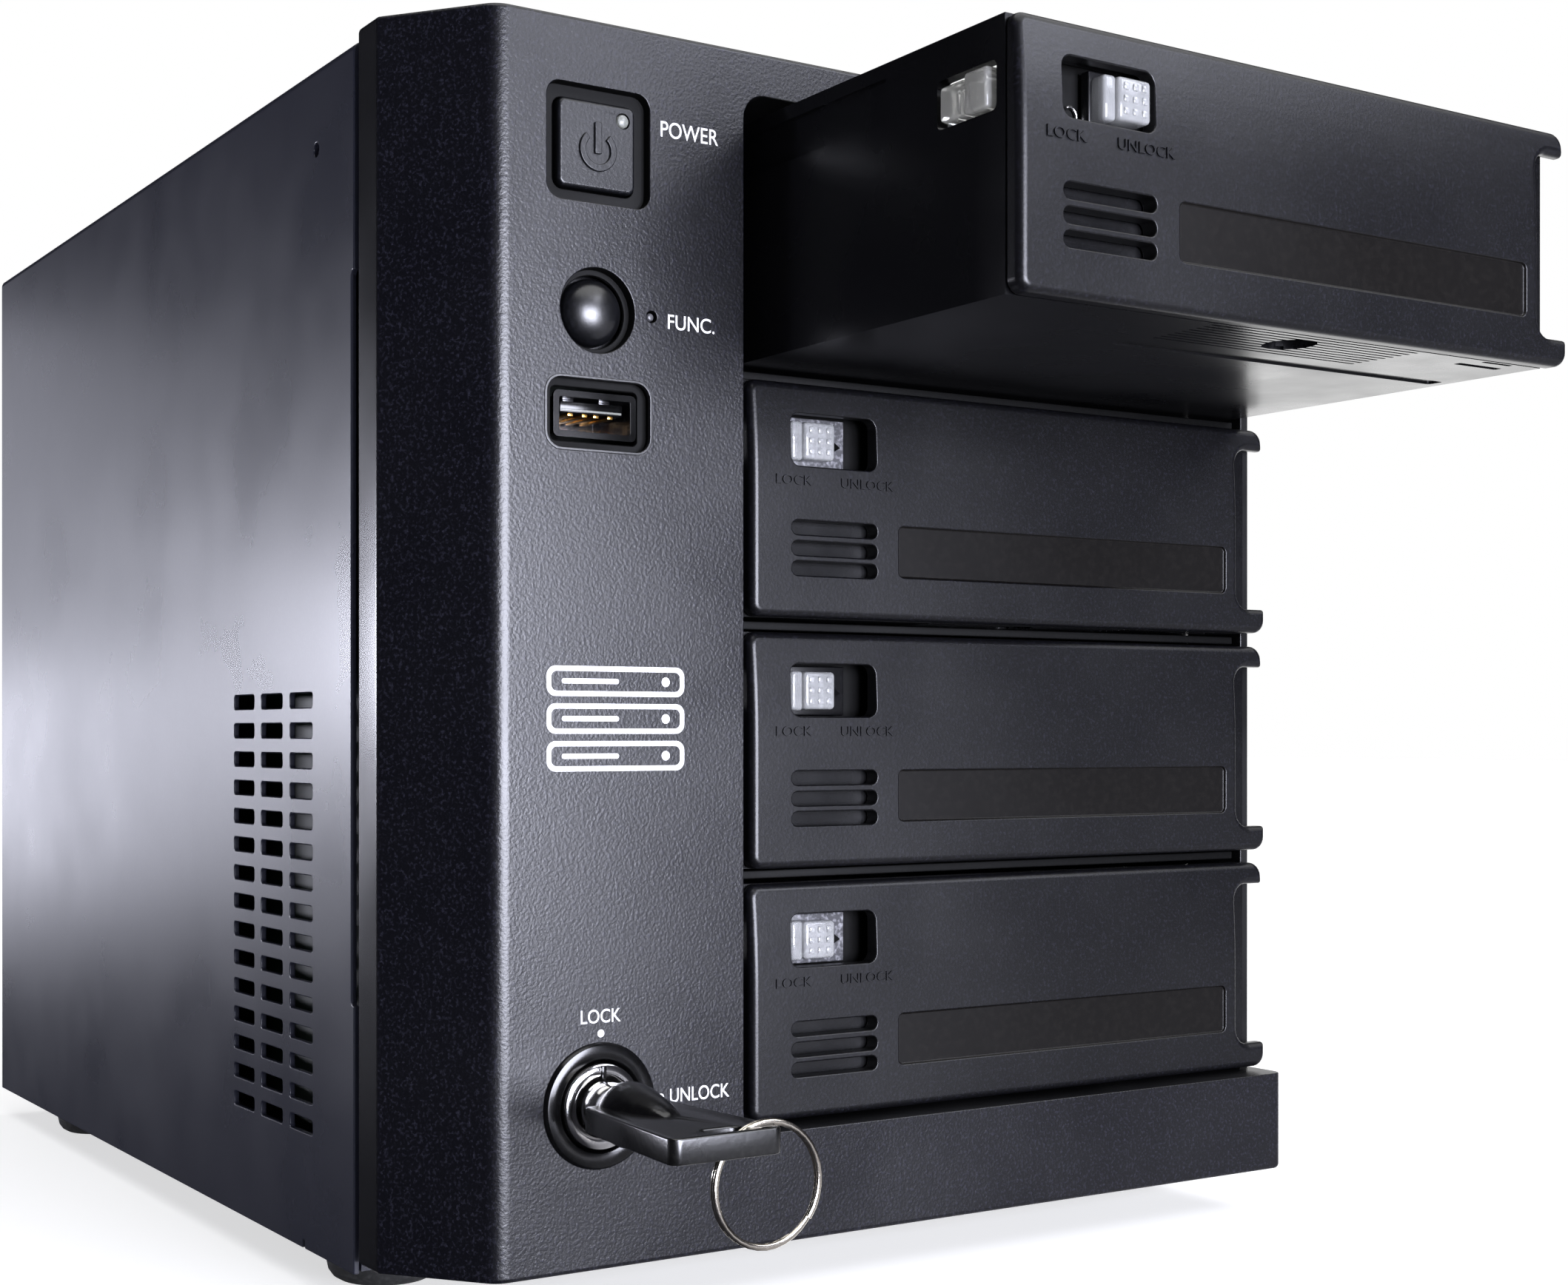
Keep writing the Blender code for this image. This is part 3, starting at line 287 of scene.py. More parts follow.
def fillet(corners, steps=6):
    """Outline with round corners from (u, v, radius)."""
    out = []
    count = len(corners)
    for index, (u, v, radius) in enumerate(corners):
        here = Vector((u, v))
        if radius <= 0:
            out.append((u, v))
            continue
        before = (Vector(corners[index - 1][:2]) - here).normalized()
        after = (Vector(corners[(index + 1) % count][:2]) - here).normalized()
        half = before.angle(after) / 2
        reach = radius / math.tan(half)
        centre = here + (before + after).normalized() * (radius / math.sin(half))
        start = here + before * reach - centre
        end = here + after * reach - centre
        first = math.atan2(start.y, start.x)
        turn = (math.atan2(end.y, end.x) - first + math.pi) % math.tau - math.pi
        for step in range(steps + 1):
            angle = first + turn * step / steps
            out.append((centre.x + radius * math.cos(angle), centre.y + radius * math.sin(angle)))
    return out


def rounded(u0, u1, v0, v1, radius, steps=6):
    """Rectangle outline with round corners."""
    return fillet([(u0, v0, radius), (u1, v0, radius), (u1, v1, radius), (u0, v1, radius)], steps)


def centred(u, v, half_u, half_v, radius, steps=6):
    """Rectangle outline with round corners, round its middle."""
    return rounded(u - half_u, u + half_u, v - half_v, v + half_v, radius, steps)


def circle(u, v, radius, count):
    """Circle outline."""
    turns = (math.tau * index / count for index in range(count))
    return [(u + radius * math.cos(turn), v + radius * math.sin(turn)) for turn in turns]


def link(thing):
    """Put an object in the scene."""
    bpy.context.scene.collection.objects.link(thing)
    return thing


def frozen(thing):
    """The mesh of an object with its modifiers or curve settings applied."""
    bpy.context.view_layer.update()
    ready = thing.evaluated_get(bpy.context.evaluated_depsgraph_get())
    return bpy.data.meshes.new_from_object(ready)


def build(name, mesh, look, smooth=True):
    """Turn a bmesh into an object."""
    bmesh.ops.recalc_face_normals(mesh, faces=mesh.faces)
    data = bpy.data.meshes.new(name)
    mesh.to_mesh(data)
    mesh.free()
    if smooth:
        data.shade_smooth()
        data.set_sharp_from_angle(angle=SHARP)
    if look:
        data.materials.append(look)
    return link(bpy.data.objects.new(name, data))


def prism_into(mesh, outline, axis, low, high):
    """Add an extruded outline to a bmesh. Outline is (x, z), (x, y) or (y, z) for axis Y, Z or X."""
    place = {
        "Y": lambda u, v, w: at(u, w, v),
        "Z": lambda u, v, w: at(u, v, w),
        "X": lambda u, v, w: at(w, u, v),
    }[axis]
    near = [mesh.verts.new(place(u, v, low)) for u, v in outline]
    far = [mesh.verts.new(place(u, v, high)) for u, v in outline]
    mesh.faces.new(near)
    mesh.faces.new(far)
    for index in range(len(outline)):
        after = (index + 1) % len(outline)
        mesh.faces.new((near[index], near[after], far[after], far[index]))


def prism(name, outline, axis, low, high, look):
    """One extruded piece."""
    mesh = bmesh.new()
    prism_into(mesh, outline, axis, low, high)
    return build(name, mesh, look)


def block(name, low, high, look, radius=0.0, segments=3):
    """Box with rounded edges."""
    mesh = bmesh.new()
    prism_into(mesh, [(low[0], low[2]), (high[0], low[2]), (high[0], high[2]), (low[0], high[2])],
               "Y", low[1], high[1])
    if radius:
        bmesh.ops.bevel(mesh, geom=mesh.edges, offset=radius * MM, segments=segments, profile=0.5,
                        affect="EDGES", clamp_overlap=True)
    return build(name, mesh, look)


def turned(name, profile, centre, axis, look, count):
    """Spin (radius, along) round an axis through centre. Points at radius 0 close the ends."""
    mesh = bmesh.new()
    rings = []
    for radius, along in profile:
        ring = []
        for index in range(count if radius > 0 else 1):
            turn = math.tau * index / count
            a, b = radius * math.cos(turn), radius * math.sin(turn)
            offset = {"Y": (a, along, b), "Z": (a, b, along), "X": (along, a, b)}[axis]
            ring.append(mesh.verts.new(at(*(part + step for part, step in zip(centre, offset)))))
        rings.append(ring)
    if profile[0][0] > 0:
        rings.append(rings[0])
    for first, second in zip(rings, rings[1:]):
        for index in range(count):
            after = (index + 1) % count
            corners = [first[index % len(first)], first[after % len(first)],
                       second[after % len(second)], second[index % len(second)]]
            unique = list(dict.fromkeys(corners))
            if len(unique) > 2:
                mesh.faces.new(unique)
    return build(name, mesh, look)


def bake(thing):
    """Apply a piece's modifiers."""
    data = frozen(thing)
    thing.modifiers.clear()
    thing.data = data


def cut(target, tools, operation="DIFFERENCE"):
    """Cut tools out of a piece. A tool's own material stays on the faces it makes."""
    for tool in tools:
        step = target.modifiers.new("cut", "BOOLEAN")
        step.operation = operation
        step.solver = "EXACT"
        step.material_mode = "TRANSFER"
        step.object = tool
        bake(target)
        bpy.data.objects.remove(tool, do_unlink=True)
    target.data.set_sharp_from_angle(angle=SHARP)
    return target


def settle(target):
    """Even shading: each corner's normal follows the largest face that meets there."""
    step = target.modifiers.new("normals", "WEIGHTED_NORMAL")
    step.mode = "FACE_AREA"
    step.weight = 100
    step.keep_sharp = True
    bake(target)
    return target


def soften(target, width, segments=2, angle=38.0):
    """Round a piece's sharp edges."""
    step = target.modifiers.new("edges", "BEVEL")
    step.width = width * MM
    step.segments = segments
    step.limit_method = "ANGLE"
    step.angle_limit = math.radians(angle)
    step.harden_normals = True
    step.miter_outer = "MITER_ARC"
    bake(target)
    return settle(target)


def letters(name, text, left, right, low, high, y, look, thick=0.03):
    """Plain lettering on a face that looks to -Y, fitted to a box."""
    font = bpy.data.curves.new(name, "FONT")
    font.body = text
    font.size = 1.0
    font.extrude = 0.5
    font.offset = 0.004
    raw = link(bpy.data.objects.new(name + "_raw", font))
    data = frozen(raw)
    bpy.data.objects.remove(raw, do_unlink=True)
    us = [vert.co.x for vert in data.vertices]
    vs = [vert.co.y for vert in data.vertices]
    for vert in data.vertices:
        u = (vert.co.x - min(us)) / (max(us) - min(us))
        v = (vert.co.y - min(vs)) / (max(vs) - min(vs))
        vert.co = at(left + u * (right - left), y - thick * vert.co.z, low + v * (high - low))
    mesh = bmesh.new()
    mesh.from_mesh(data)
    bpy.data.meshes.remove(data)
    bmesh.ops.remove_doubles(mesh, verts=mesh.verts, dist=0.000002)
    return build(name, mesh, look)


def join(name, things):
    """Several meshes as one object."""
    mesh = bmesh.new()
    looks = []
    for thing in things:
        for look in thing.data.materials:
            if look not in looks:
                looks.append(look)
        start = len(mesh.faces)
        mesh.from_mesh(thing.data)
        mesh.faces.ensure_lookup_table()
        for face in mesh.faces[start:]:
            face.material_index = looks.index(thing.data.materials[face.material_index])
    data = bpy.data.meshes.new(name)
    mesh.to_mesh(data)
    mesh.free()
    for look in looks:
        data.materials.append(look)
    for thing in things:
        bpy.data.objects.remove(thing, do_unlink=True)
    return link(bpy.data.objects.new(name, data))


def wire(name, points, radius, look, closed=False, sides=4):
    """A round wire along points."""
    curve = bpy.data.curves.new(name, "CURVE")
    curve.dimensions = "3D"
    curve.bevel_depth = radius * MM
    curve.bevel_resolution = sides
    curve.use_fill_caps = True
    line = curve.splines.new("POLY")
    line.points.add(len(points) - 1)
    for point, place in zip(line.points, points):
        point.co = (*at(*place), 1)
    line.use_cyclic_u = closed
    raw = link(bpy.data.objects.new(name + "_raw", curve))
    data = frozen(raw)
    bpy.data.objects.remove(raw, do_unlink=True)
    data.shade_smooth()
    data.materials.clear()
    data.materials.append(look)
    return link(bpy.data.objects.new(name, data))


def belongs(thing, body, slot, *nodes):
    """A piece rides on a body and stands for CAD nodes, which it hides; the slot is not used."""
    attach(thing, body)
    if nodes:
        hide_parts(*nodes)
    return thing


# ---------------------------------------------------------------- enclosure


def make_bezel(looks):
    """Plastic front with its chamfer, control strip, bay opening and bottom bar."""
    x = CONTROL_X
    outline = fillet([(-HALF, BEZEL_BACK, 0), (-HALF, 15.7, 0.9), (-76.8, 0, 4.2), (HALF, 0, 2.3),
                      (HALF, BEZEL_BACK, 0)], 8)
    bezel = prism("bezel_moulding", outline, "Z", 0, BEZEL_TOP, looks["front"])
    soften(bezel, 0.8, 3, 60)
    bay = fillet([(BAY_LEFT, BAY_LOW, 4), (BAY_RIGHT, BAY_LOW, 0), (BAY_RIGHT, BAY_HIGH, 0),
                  (BAY_LEFT, BAY_HIGH, 4)])
    holes = (
        # outline, front, back and look: the bay and its open right end
        (bay, -2, BEZEL_BACK + 1, "bay"),
        (rounded(86, 91, BAY_LOW, BAY_HIGH, 0.01, 1), -2, 9.1, "bay"),
        # a shallow recess and a hole through it, their walls in painted shade: power button, socket, round
        # button
        (centred(x, POWER_Z, 9, 8.85, 2.3), -1, 1.8, "painted_shade"),
        (centred(x, POWER_Z, 7.1, 6.9, 1.5), 1, 3.5, "painted_shade"),
        (centred(x, USB_Z, 9.2, 5.5, 2.6), -1, 1.5, "painted_shade"),
        (centred(x, USB_Z, 7.6, 4.1, 0.8), 1, 3.5, "painted_shade"),
        (circle(*FUNC, 6.5, 56), -1, 1.8, "painted_shade"),
        (circle(*FUNC, 5.6, 48), 1, 3.5, "painted_shade"),
        # the lamp beside the round button, its hole walled in painted shade, and the lock
        (circle(FUNC_LAMP_X, FUNC[1], 0.9, 16), -1, 3.5, "painted_shade"),
        (circle(x, LOCK_Z, 8.4, 48), -1, 3.5, "gloss"),
    )
    cut(bezel, [prism("t", hole, "Y", low, high, looks[look]) for hole, low, high, look in holes])
    wall = 2.5
    back = BEZEL_BACK + 1
    strip = [(-HALF + wall, back), (-HALF + wall, 16.7), (-75.8, wall), (BAY_LEFT - wall, wall),
             (BAY_LEFT - wall, back)]
    left, right = BAY_LEFT + wall, BAY_RIGHT - wall
    bar = [(left, wall), (right, wall), (right, back), (left, back)]
    cut(bezel, [
        prism("t", strip, "Z", wall, BEZEL_TOP - wall, looks["bay"]),
        prism("t", bar, "Z", wall, BAY_LOW - wall, looks["bay"]),
    ])
    soften(bezel, 0.28, 2, 40)
    bezel.data.materials.append(looks["side"])
    for face in bezel.data.polygons:
        if abs(face.normal.x) > 0.9 and face.center.x < at(-HALF + 0.1, 0, 0).x:
            face.material_index = len(bezel.data.materials) - 1
    belongs(bezel, "enclosure", "charcoal_plastic", "bezel")
    rim = prism("usb_rim", centred(x, USB_Z, 9.45, 5.75, 2.85), "Y", -0.16, 0.6, looks["dome"])
    cut(rim, [prism("t", centred(x, USB_Z, 9.0, 5.3, 2.4), "Y", -1, 1, looks["dome"])])
    soften(rim, 0.1, 2, 40)
    belongs(rim, "enclosure", "charcoal_plastic")


def make_print(looks):
    """White function words, dots and a plain stacked-drive pictogram on the control strip."""
    look = looks["print"]
    for name, text, left, right, low, high in (
        ("word_power", "POWER", -48.5, -37.9, 174.5, 177.0),
        ("word_func", "FUNC.", -47.2, -38.6, 144.8, 147.1),
        ("word_lock", "LOCK", -62.7, -55.7, 37.8, 39.9),
        ("word_unlock", "UNLOCK", -46.8, -35.8, 24.5, 26.7),
    ):
        belongs(letters(name, text, left, right, low, high, 0.0, look), "enclosure", "charcoal_plastic")
    outlines = [circle(-59.2, 36.2, 0.6, 20), circle(-48.5, 25.5, 0.6, 20)]
    marks = [prism("dot", outline, "Y", -PRINT_HALF, PRINT_HALF, look) for outline in outlines]
    for row in range(3):
        low = 76.2 + row * 5.7
        frame = prism("bar", rounded(-68.6, -44.2, low, low + 4.6, 1.5), "Y", -PRINT_HALF, PRINT_HALF, look)
        inside = rounded(-67.8, -45.0, low + 0.8, low + 3.8, 0.9)
        marks.append(cut(frame, [prism("t", inside, "Y", -1, 1, look)]))
        led = circle(-47.6, low + 2.3, 0.75, 20)
        line = rounded(-66.0, -56.0, low + 1.9, low + 2.7, 0.38)
        marks += [prism("mark", outline, "Y", -PRINT_HALF, PRINT_HALF, look) for outline in (led, line)]
    belongs(join("printed_marks", marks), "enclosure", "charcoal_plastic")


def make_cover(looks):
    """Folded sheet over both sides and the top, with its vents."""
    top, low = COVER_TOP, COVER_LOW
    inside = HALF - 1
    outer = [(-HALF, low, 0), (-HALF, top, 1.6), (HALF, top, 1.6), (HALF, low, 0)]
    inner = [(inside, low, 0), (inside, top - 1, 0.6), (-inside, top - 1, 0.6), (-inside, low, 0)]
    cover = prism("cover_sheet", fillet(outer + inner), "Y", COVER_FRONT, COVER_BACK, looks["cover"])
    mesh = bmesh.new()
    for start in (41.0, 54.0, 67.0):
        for row in range(15):
            base = 17.0 + row * 4.94
            prism_into(mesh, rounded(start, start + 9.8, base, base + 2.4, 0.55, 3), "X", -91, 91)
    vents = build("t", mesh, looks["cover"], False)
    hole = prism("t", circle(39.4, 175.7, 1.15, 24), "X", -91, -80, looks["cover"])
    front_relief = prism("t", rounded(23.4, 25.4, 39.7, 153.8, 0.8, 3), "X", -91, 91, looks["cover"])
    foot_notch = prism("t", rounded(44.3, 45.3, -3.0, -0.4, 0.4, 3), "X", -91, -80, looks["cover"])
    cut(cover, [vents, hole, front_relief, foot_notch])
    soften(cover, 0.22, 2, 40)
    belongs(cover, "enclosure", "painted_steel", "side_cover")


def make_rails(looks):
    """Guide strips in the slits between the bays, black in painted shade."""
    strips = []
    for bay in range(2, 5):
        top = TOP_FLOOR - (bay - 1) * PITCH + CARTRIDGE_HIGH
        strips.append(block("rail", (-32.4, 10.5, top + 0.55), (86.6, 26.0, top + 1.95), looks["painted_shade"], 0.2))
    belongs(join("bay_rails", strips), "enclosure", "charcoal_plastic")


def make_feet(looks):
    """Soft feet with a rolled rim."""
    profile = [(0, -8.0), (6.2, -8.0), (7.6, -7.8), (8.6, -7.2), (9.3, -6.2), (9.9, -3.4), (10.0, -1.8),
               (0, -1.8)]
    spots = (("front_left", -1, 44), ("front_right", 1, 44), ("rear_left", -1, 200), ("rear_right", 1, 200))
    for name, side, y in spots:
        foot = turned(f"foot_pad_{name}", profile, (side * (HALF - 14), y, 0), "Z", looks["rubber"], 48)
        belongs(foot, "enclosure", "rubber", f"foot_{name}")


def make_guard(looks):
    """Wire rings and arms of the fan guard, and its four screws."""
    x, z = FAN
    y = PANEL_BACK + 1.1
    rings = []
    for radius in (9.0, 16.0, 23.0, 30.0, 37.0):
        spots = [(x + u, y, z + v) for u, v in circle(0, 0, radius, 72)]
        rings.append(wire("ring", spots, 0.7, looks["steel"], True, 2))
    for turn in (45, 135, 225, 315):
        u, v = math.cos(math.radians(turn)), math.sin(math.radians(turn))
        spots = [(x + u * reach, y - 0.2, z + v * reach) for reach in (9.0, 20.0, 30.0, 40.0)]
        rings.append(wire("arm", spots, 0.75, looks["steel"], False, 2))
    belongs(join("guard_wires", rings), "enclosure", "plated_steel", "fan_guard")
    screws = []
    for side in (-1, 1):
        for up in (-1, 1):
            centre = (x + side * 34.0, PANEL_BACK, z + up * 34.0)
            screws.append(cross_screw(centre, 2.6, looks["steel"]))
    belongs(join("fan_screws", screws), "enclosure", "plated_steel")


def cross_screw(centre, radius, look):
    """Pan-head screw with a cross recess, facing +Y."""
    rise = radius * 0.55
    profile = [(0, -0.2), (radius, -0.2), (radius, 0.25), (radius * 0.93, rise * 0.7),
               (radius * 0.7, rise * 0.95), (0, rise)]
    head = turned("screw", profile, centre, "Y", look, 28)
    half = radius * 0.16
    reach = radius * 0.6
    x, y, z = centre
    bars = [centred(x, z, reach, half, half * 0.5, 1), centred(x, z, half, reach, half * 0.5, 1)]
    return cut(head, [prism("t", bar, "Y", y + rise * 0.3, y + 5, look) for bar in bars])


def make_rotor(looks):
    """Fan rotor: hub and curved blades."""
    x, z = FAN
    back = COVER_BACK - 1.8 - 0.3
    front = back - 25 + 4
    profile = [(0, front), (15.8, front), (16.7, front + 0.5), (17.0, front + 1.4), (17.0, front + 18.4),
               (16.6, front + 19.5), (15.6, front + 20), (0, front + 20)]
    hub = turned("rotor_hub", profile, (x, 0, z), "Y", looks["fan"], 48)
    steps = 6
    mesh = bmesh.new()
    for blade in range(BLADES):
        grid = []
        for out in range(steps + 1):
            radius = 16.5 + 19.0 * out / steps
            chord = 15.0 + 3.0 * out / steps
            pitch = math.radians(52 - 16 * out / steps)
            row = []
            for step in range(steps + 1):
                share = step / steps - 0.5
                camber = 1.6 * (0.25 - share * share) * 4
                along = share * chord
                swing = along * math.cos(pitch) + camber * math.sin(pitch)
                depth = along * math.sin(pitch) - camber * math.cos(pitch)
                turn = math.tau * blade / BLADES + swing / radius
                spot = at(x + radius * math.sin(turn), front + 10 + depth * 0.95, z + radius * math.cos(turn))
                row.append(mesh.verts.new(spot))
            grid.append(row)
        for a in range(steps):
            for b in range(steps):
                mesh.faces.new((grid[a][b], grid[a + 1][b], grid[a + 1][b + 1], grid[a][b + 1]))
    blades = build("rotor_blades", mesh, looks["fan"])
    thick = blades.modifiers.new("thick", "SOLIDIFY")
    thick.thickness = 1.1 * MM
    thick.offset = 0.0
    bake(blades)
    belongs(join("rotor_moulding", [hub, blades]), "fan_rotor", "black_plastic", "fan_rotor")


def make_rear(looks):
    """Screws of the rear panel, and the contacts in the network socket."""
    steel = looks["steel"]
    screws = [cross_screw((side * 80.0, PANEL_BACK + 0.3, 180.0), 3.2, steel) for side in (-1, 1)]
    for side in (-1, 1):
        for low in (14.0, 96.0):
            screws.append(cross_screw((side * 84.0, PANEL_BACK + 0.2, low), 2.4, steel))
    nodes = ("panel_screw_left", "panel_screw_right")
    belongs(join("panel_screws", screws), "enclosure", "plated_steel", *nodes)
    pins = []
    for index in range(8):
        x = -52 + (index - 3.5) * 1.02
        pins.append(wire("pin", [(x, 222.5, 64.0), (x, 229.0, 62.6)], 0.22, looks["gold"], False, 1))
    belongs(join("network_contacts", pins), "enclosure", "plated_steel")


# ---------------------------------------------------------------- controls


def make_power(looks):
    """Power button with its bevelled cap, raised symbol and lamp."""
    x, z = CONTROL_X, POWER_Z
    lamp_x, lamp_z = x + POWER_LAMP[0], z + POWER_LAMP[1]
    look = looks["button"]
    cap = prism("power_cap", centred(x, z, 6.7, 6.7, 1.2), "Y", 0.5, 3.1, look)
    soften(cap, 0.55, 4, 60)
    # the lamp hole in the cap is walled in painted shade
    settle(cut(cap, [prism("t", circle(lamp_x, lamp_z, 1.25, 28), "Y", -1, 1.2, looks["painted_shade"])]))
    stem = block("stem", (x - 2, 3.0, z - 2), (x + 2, 13.4, z + 2), look, 0.3)
    belongs(join("power_cap", [cap, stem]), "power_button", "black_plastic", "power_button")
    middle = z - 0.7
    arc = []
    for radius, turns in ((3.25, range(40, 321, 8)), (2.15, range(320, 39, -8))):
        for turn in turns:
            angle = math.radians(turn)
            arc.append((x + radius * math.sin(angle), middle + radius * math.cos(angle)))
    bar = rounded(x - 0.62, x + 0.62, middle - 0.6, middle + 4.3, 0.3, 3)
    pieces = [prism("mark", outline, "Y", 0.08, 0.7, look) for outline in (arc, bar)]
    for piece in pieces:
        soften(piece, 0.16, 2, 50)
    belongs(join("power_symbol", pieces), "power_button", "black_plastic")
    profile = [(0, 0.15), (0.55, 0.22), (0.9, 0.42), (1.05, 0.7), (1.05, 2.0), (0, 2.0)]
    lamp = turned("power_lamp", profile, (lamp_x, 0, lamp_z), "Y", looks["lens"], 32)
    belongs(lamp, "power_button", "grey_lens", "power_light")


def make_func(looks):
    """Round domed button and the small lamp beside it."""
    steps = 12
    rise = 3.4
    rim = 5.2
    profile = [(0, -0.6)]
    for step in range(1, steps + 1):
        angle = math.radians(90 * step / steps)
        profile.append((rim * math.sin(angle), -0.6 + rise * (1 - math.cos(angle))))
    profile += [(rim, 4.0), (6.2, 4.1), (6.2, 5.0), (2, 5.0), (2, 13.4), (0, 13.4)]
    dome = turned("func_dome", profile, (FUNC[0], 0, FUNC[1]), "Y", looks["dome"], 64)
    belongs(dome, "func_button", "black_plastic", "func_button")
    profile = [(0, 0.25), (0.45, 0.35), (0.62, 0.6), (0.62, 3.2), (0, 3.2)]
    lamp = turned("func_lamp", profile, (FUNC_LAMP_X, 0, FUNC[1]), "Y", looks["dark_lens"], 24)
    belongs(lamp, "enclosure", "dark_lens", "func_light")


def make_usb(looks):
    """Socket shell with a flange and spring tabs, its tongue and contacts, a painted highlight along the
    tongue's edge, and the shell's front faces in black as a painted dark reflection.
    """
    x, z = CONTROL_X, USB_Z
    look = looks["socket"]
    shell = prism("usb_shell", centred(x, z, 6.6, 2.9, 0.6), "Y", 1.2, 13.4, look)
    cut(shell, [prism("t", centred(x, z, 7.25, 3.55, 0.9), "Y", 1.2, 1.75, look)], "UNION")
    cut(shell, [prism("t", centred(x, z, 6.25, 2.56, 0.35), "Y", 0, 12.9, look)])
    soften(shell, 0.12, 2, 40)
    # the steel shell's front faces are made gloss black: painted dark reflection
    shell.data.materials.append(looks["gloss"])
    for face in shell.data.polygons:
        if face.center.y < at(0, 1.5, 0).y:
            face.material_index = len(shell.data.materials) - 1
    tabs = []
    for side in (x - 3.2, x + 3.2):
        for up in (-1, 1):
            low, high = sorted((z + up * 2.6, z + up * 2.15))
            tabs.append(block("tab", (side - 1.0, 4.0, low), (side + 1.0, 8.0, high), look, 0.1))
    belongs(join("usb_shell", [shell] + tabs), "enclosure", "plated_steel", "front_usb_shell")
    tongue = block("usb_tongue", (x - 5.55, 2.4, z + 0.35), (x + 5.55, 12.6, z + 2.1), looks["gloss"], 0.2)
    belongs(tongue, "enclosure", "black_plastic", "front_usb_tongue")
    # a grey strip along the tongue's front edge: painted highlight
    edge = block("usb_tongue_painted_highlight", (x - 5.3, 2.3, z + 0.6), (x + 5.3, 2.6, z + 0.95), looks["lens"], 0.1)
    contacts = [edge]
    for pin in (x - 3.5, x - 1.0, x + 1.0, x + 3.5):
        low, high = (pin - 0.5, 2.7, z - 0.15), (pin + 0.5, 11.5, z + 0.36)
        contacts.append(block("pin", low, high, looks["gold"], 0.1))
    belongs(join("usb_contacts", contacts), "enclosure", "plated_steel")


def make_lock(looks):
    """Cam lock: black flange with a rolled rim, chrome plug and index nib."""
    centre = (CONTROL_X, 0, LOCK_Z)
    profile = [(6.95, 17.0), (6.95, -0.3), (7.2, -0.85), (7.7, -1.0), (8.7, -1.0), (9.3, -0.85), (9.62, -0.5),
               (9.7, -0.3), (9.7, 0.1), (8.1, 0.1), (8.1, 17.0)]
    body = turned("lock_flange", profile, centre, "Y", looks["gloss"], 72)
    belongs(body, "enclosure", "black_plastic", "lock_body")
    profile = [(0, 4.0), (4.55, 4.0), (4.6, -0.9), (4.75, -1.3), (5.1, -1.45), (6.0, -1.4), (6.45, -1.2),
               (6.66, -0.8), (6.7, -0.3), (6.7, 19.0), (0, 19.0)]
    plug = turned("lock_barrel", profile, centre, "Y", looks["chrome"], 64)
    nib = block("nib", (CONTROL_X - 0.45, -1.6, LOCK_Z + 4.2), (CONTROL_X + 0.45, -0.8, LOCK_Z + 6.3),
                looks["gloss"], 0.15)
    belongs(join("lock_barrel", [plug, nib]), "lock_plug", "chrome", "lock_plug")


def make_key(looks):
    """Round key: chrome tube, and flat bow with a hub and a ring slot."""
    x, z = CONTROL_X, LOCK_Z
    profile = [(3.0, 3.6), (3.0, -7.0), (3.9, -7.0), (4.1, -6.7), (4.1, -2.6), (3.9, -2.4), (3.9, -2.0),
               (4.1, -1.8), (4.1, 3.4), (3.9, 3.6)]
    tube = turned("key_tube", profile, (x, 0, z), "Y", looks["chrome"], 48)
    belongs(tube, "key", "chrome", "key_shaft")
    low = z - 2.25
    corners = [(x - 9.4, -36.3, 1.6), (x + 9.4, -36.3, 1.6), (x + 7.0, -7.4, 1.2), (x - 7.0, -7.4, 1.2)]
    bow = prism("key_bow", fillet(corners, 5), "Z", low, low + 3.8, looks["key"])
    slot = rounded(x - 2.6, x + 4.2, -35.05, -31.85, 1.3, 4)
    cut(bow, [prism("t", slot, "Z", low - 1, low + 5, looks["key"])])
    soften(bow, 0.8, 4, 50)
    profile = [(0, -22.5), (1.2, -22.3), (2.1, -21.4), (3.6, -17.0), (4.8, -11.5), (5.0, -9.4), (4.9, -8.2),
               (4.6, -7.5), (4.2, -7.3), (0, -7.3)]
    hub = turned("hub", profile, (x, 0, z), "Y", looks["key"], 48)
    cut(bow, [hub], "UNION")
    belongs(bow, "key", "black_plastic", "key_head")
    make_ring(looks)


def make_ring(looks):
    """Split ring of nearly two turns of flat wire, which steps from one turn to the other."""
    x, y, z = RING
    steps = 68
    spots = []
    for step in range(steps + 1):
        share = step / steps
        angle = math.radians(-38) + math.tau * RING_TURNS * share
        rise = RING_PITCH * (min(1.0, max(0.0, (share - 0.44) / 0.12)) - 0.5)
        spots.append((x + RING_RADIUS * math.cos(angle), y + rise, z + RING_RADIUS * math.sin(angle)))
    ring = wire("ring_coil", spots, 0.3, looks["wire"], False, 3)
    middle = at(x, y, z)
    for vert in ring.data.vertices:
        side = vert.co - middle
        radius = math.hypot(side.x, side.z)
        wider = RING_RADIUS * MM + (radius - RING_RADIUS * MM) * 1.6
        vert.co.x = middle.x + side.x / radius * wider
        vert.co.z = middle.z + side.z / radius * wider
    belongs(ring, "key_ring", "plated_steel", "key_ring")


# ---------------------------------------------------------------- cartridges


def face_outline(inset):
    """Outline of a cartridge face with its finger scoop, drawn in by a distance."""
    left, right = CARTRIDGE_LEFT + inset, HALF - inset
    low, high = inset, CARTRIDGE_HIGH - inset
    scoop = SCOOP_LEFT - inset
    lip_low, lip_high = SCOOP_LOW - inset, SCOOP_HIGH + inset
    return fillet([
        (left, low, 2.1 - inset), (right, low, 2.4 - inset), (right, lip_low, 0),
        (scoop, lip_low, 3.3 + inset), (scoop, lip_high, 3.3 + inset), (right, lip_high, 0),
        (right, high, 2.4 - inset), (left, high, 2.1 - inset),
    ])


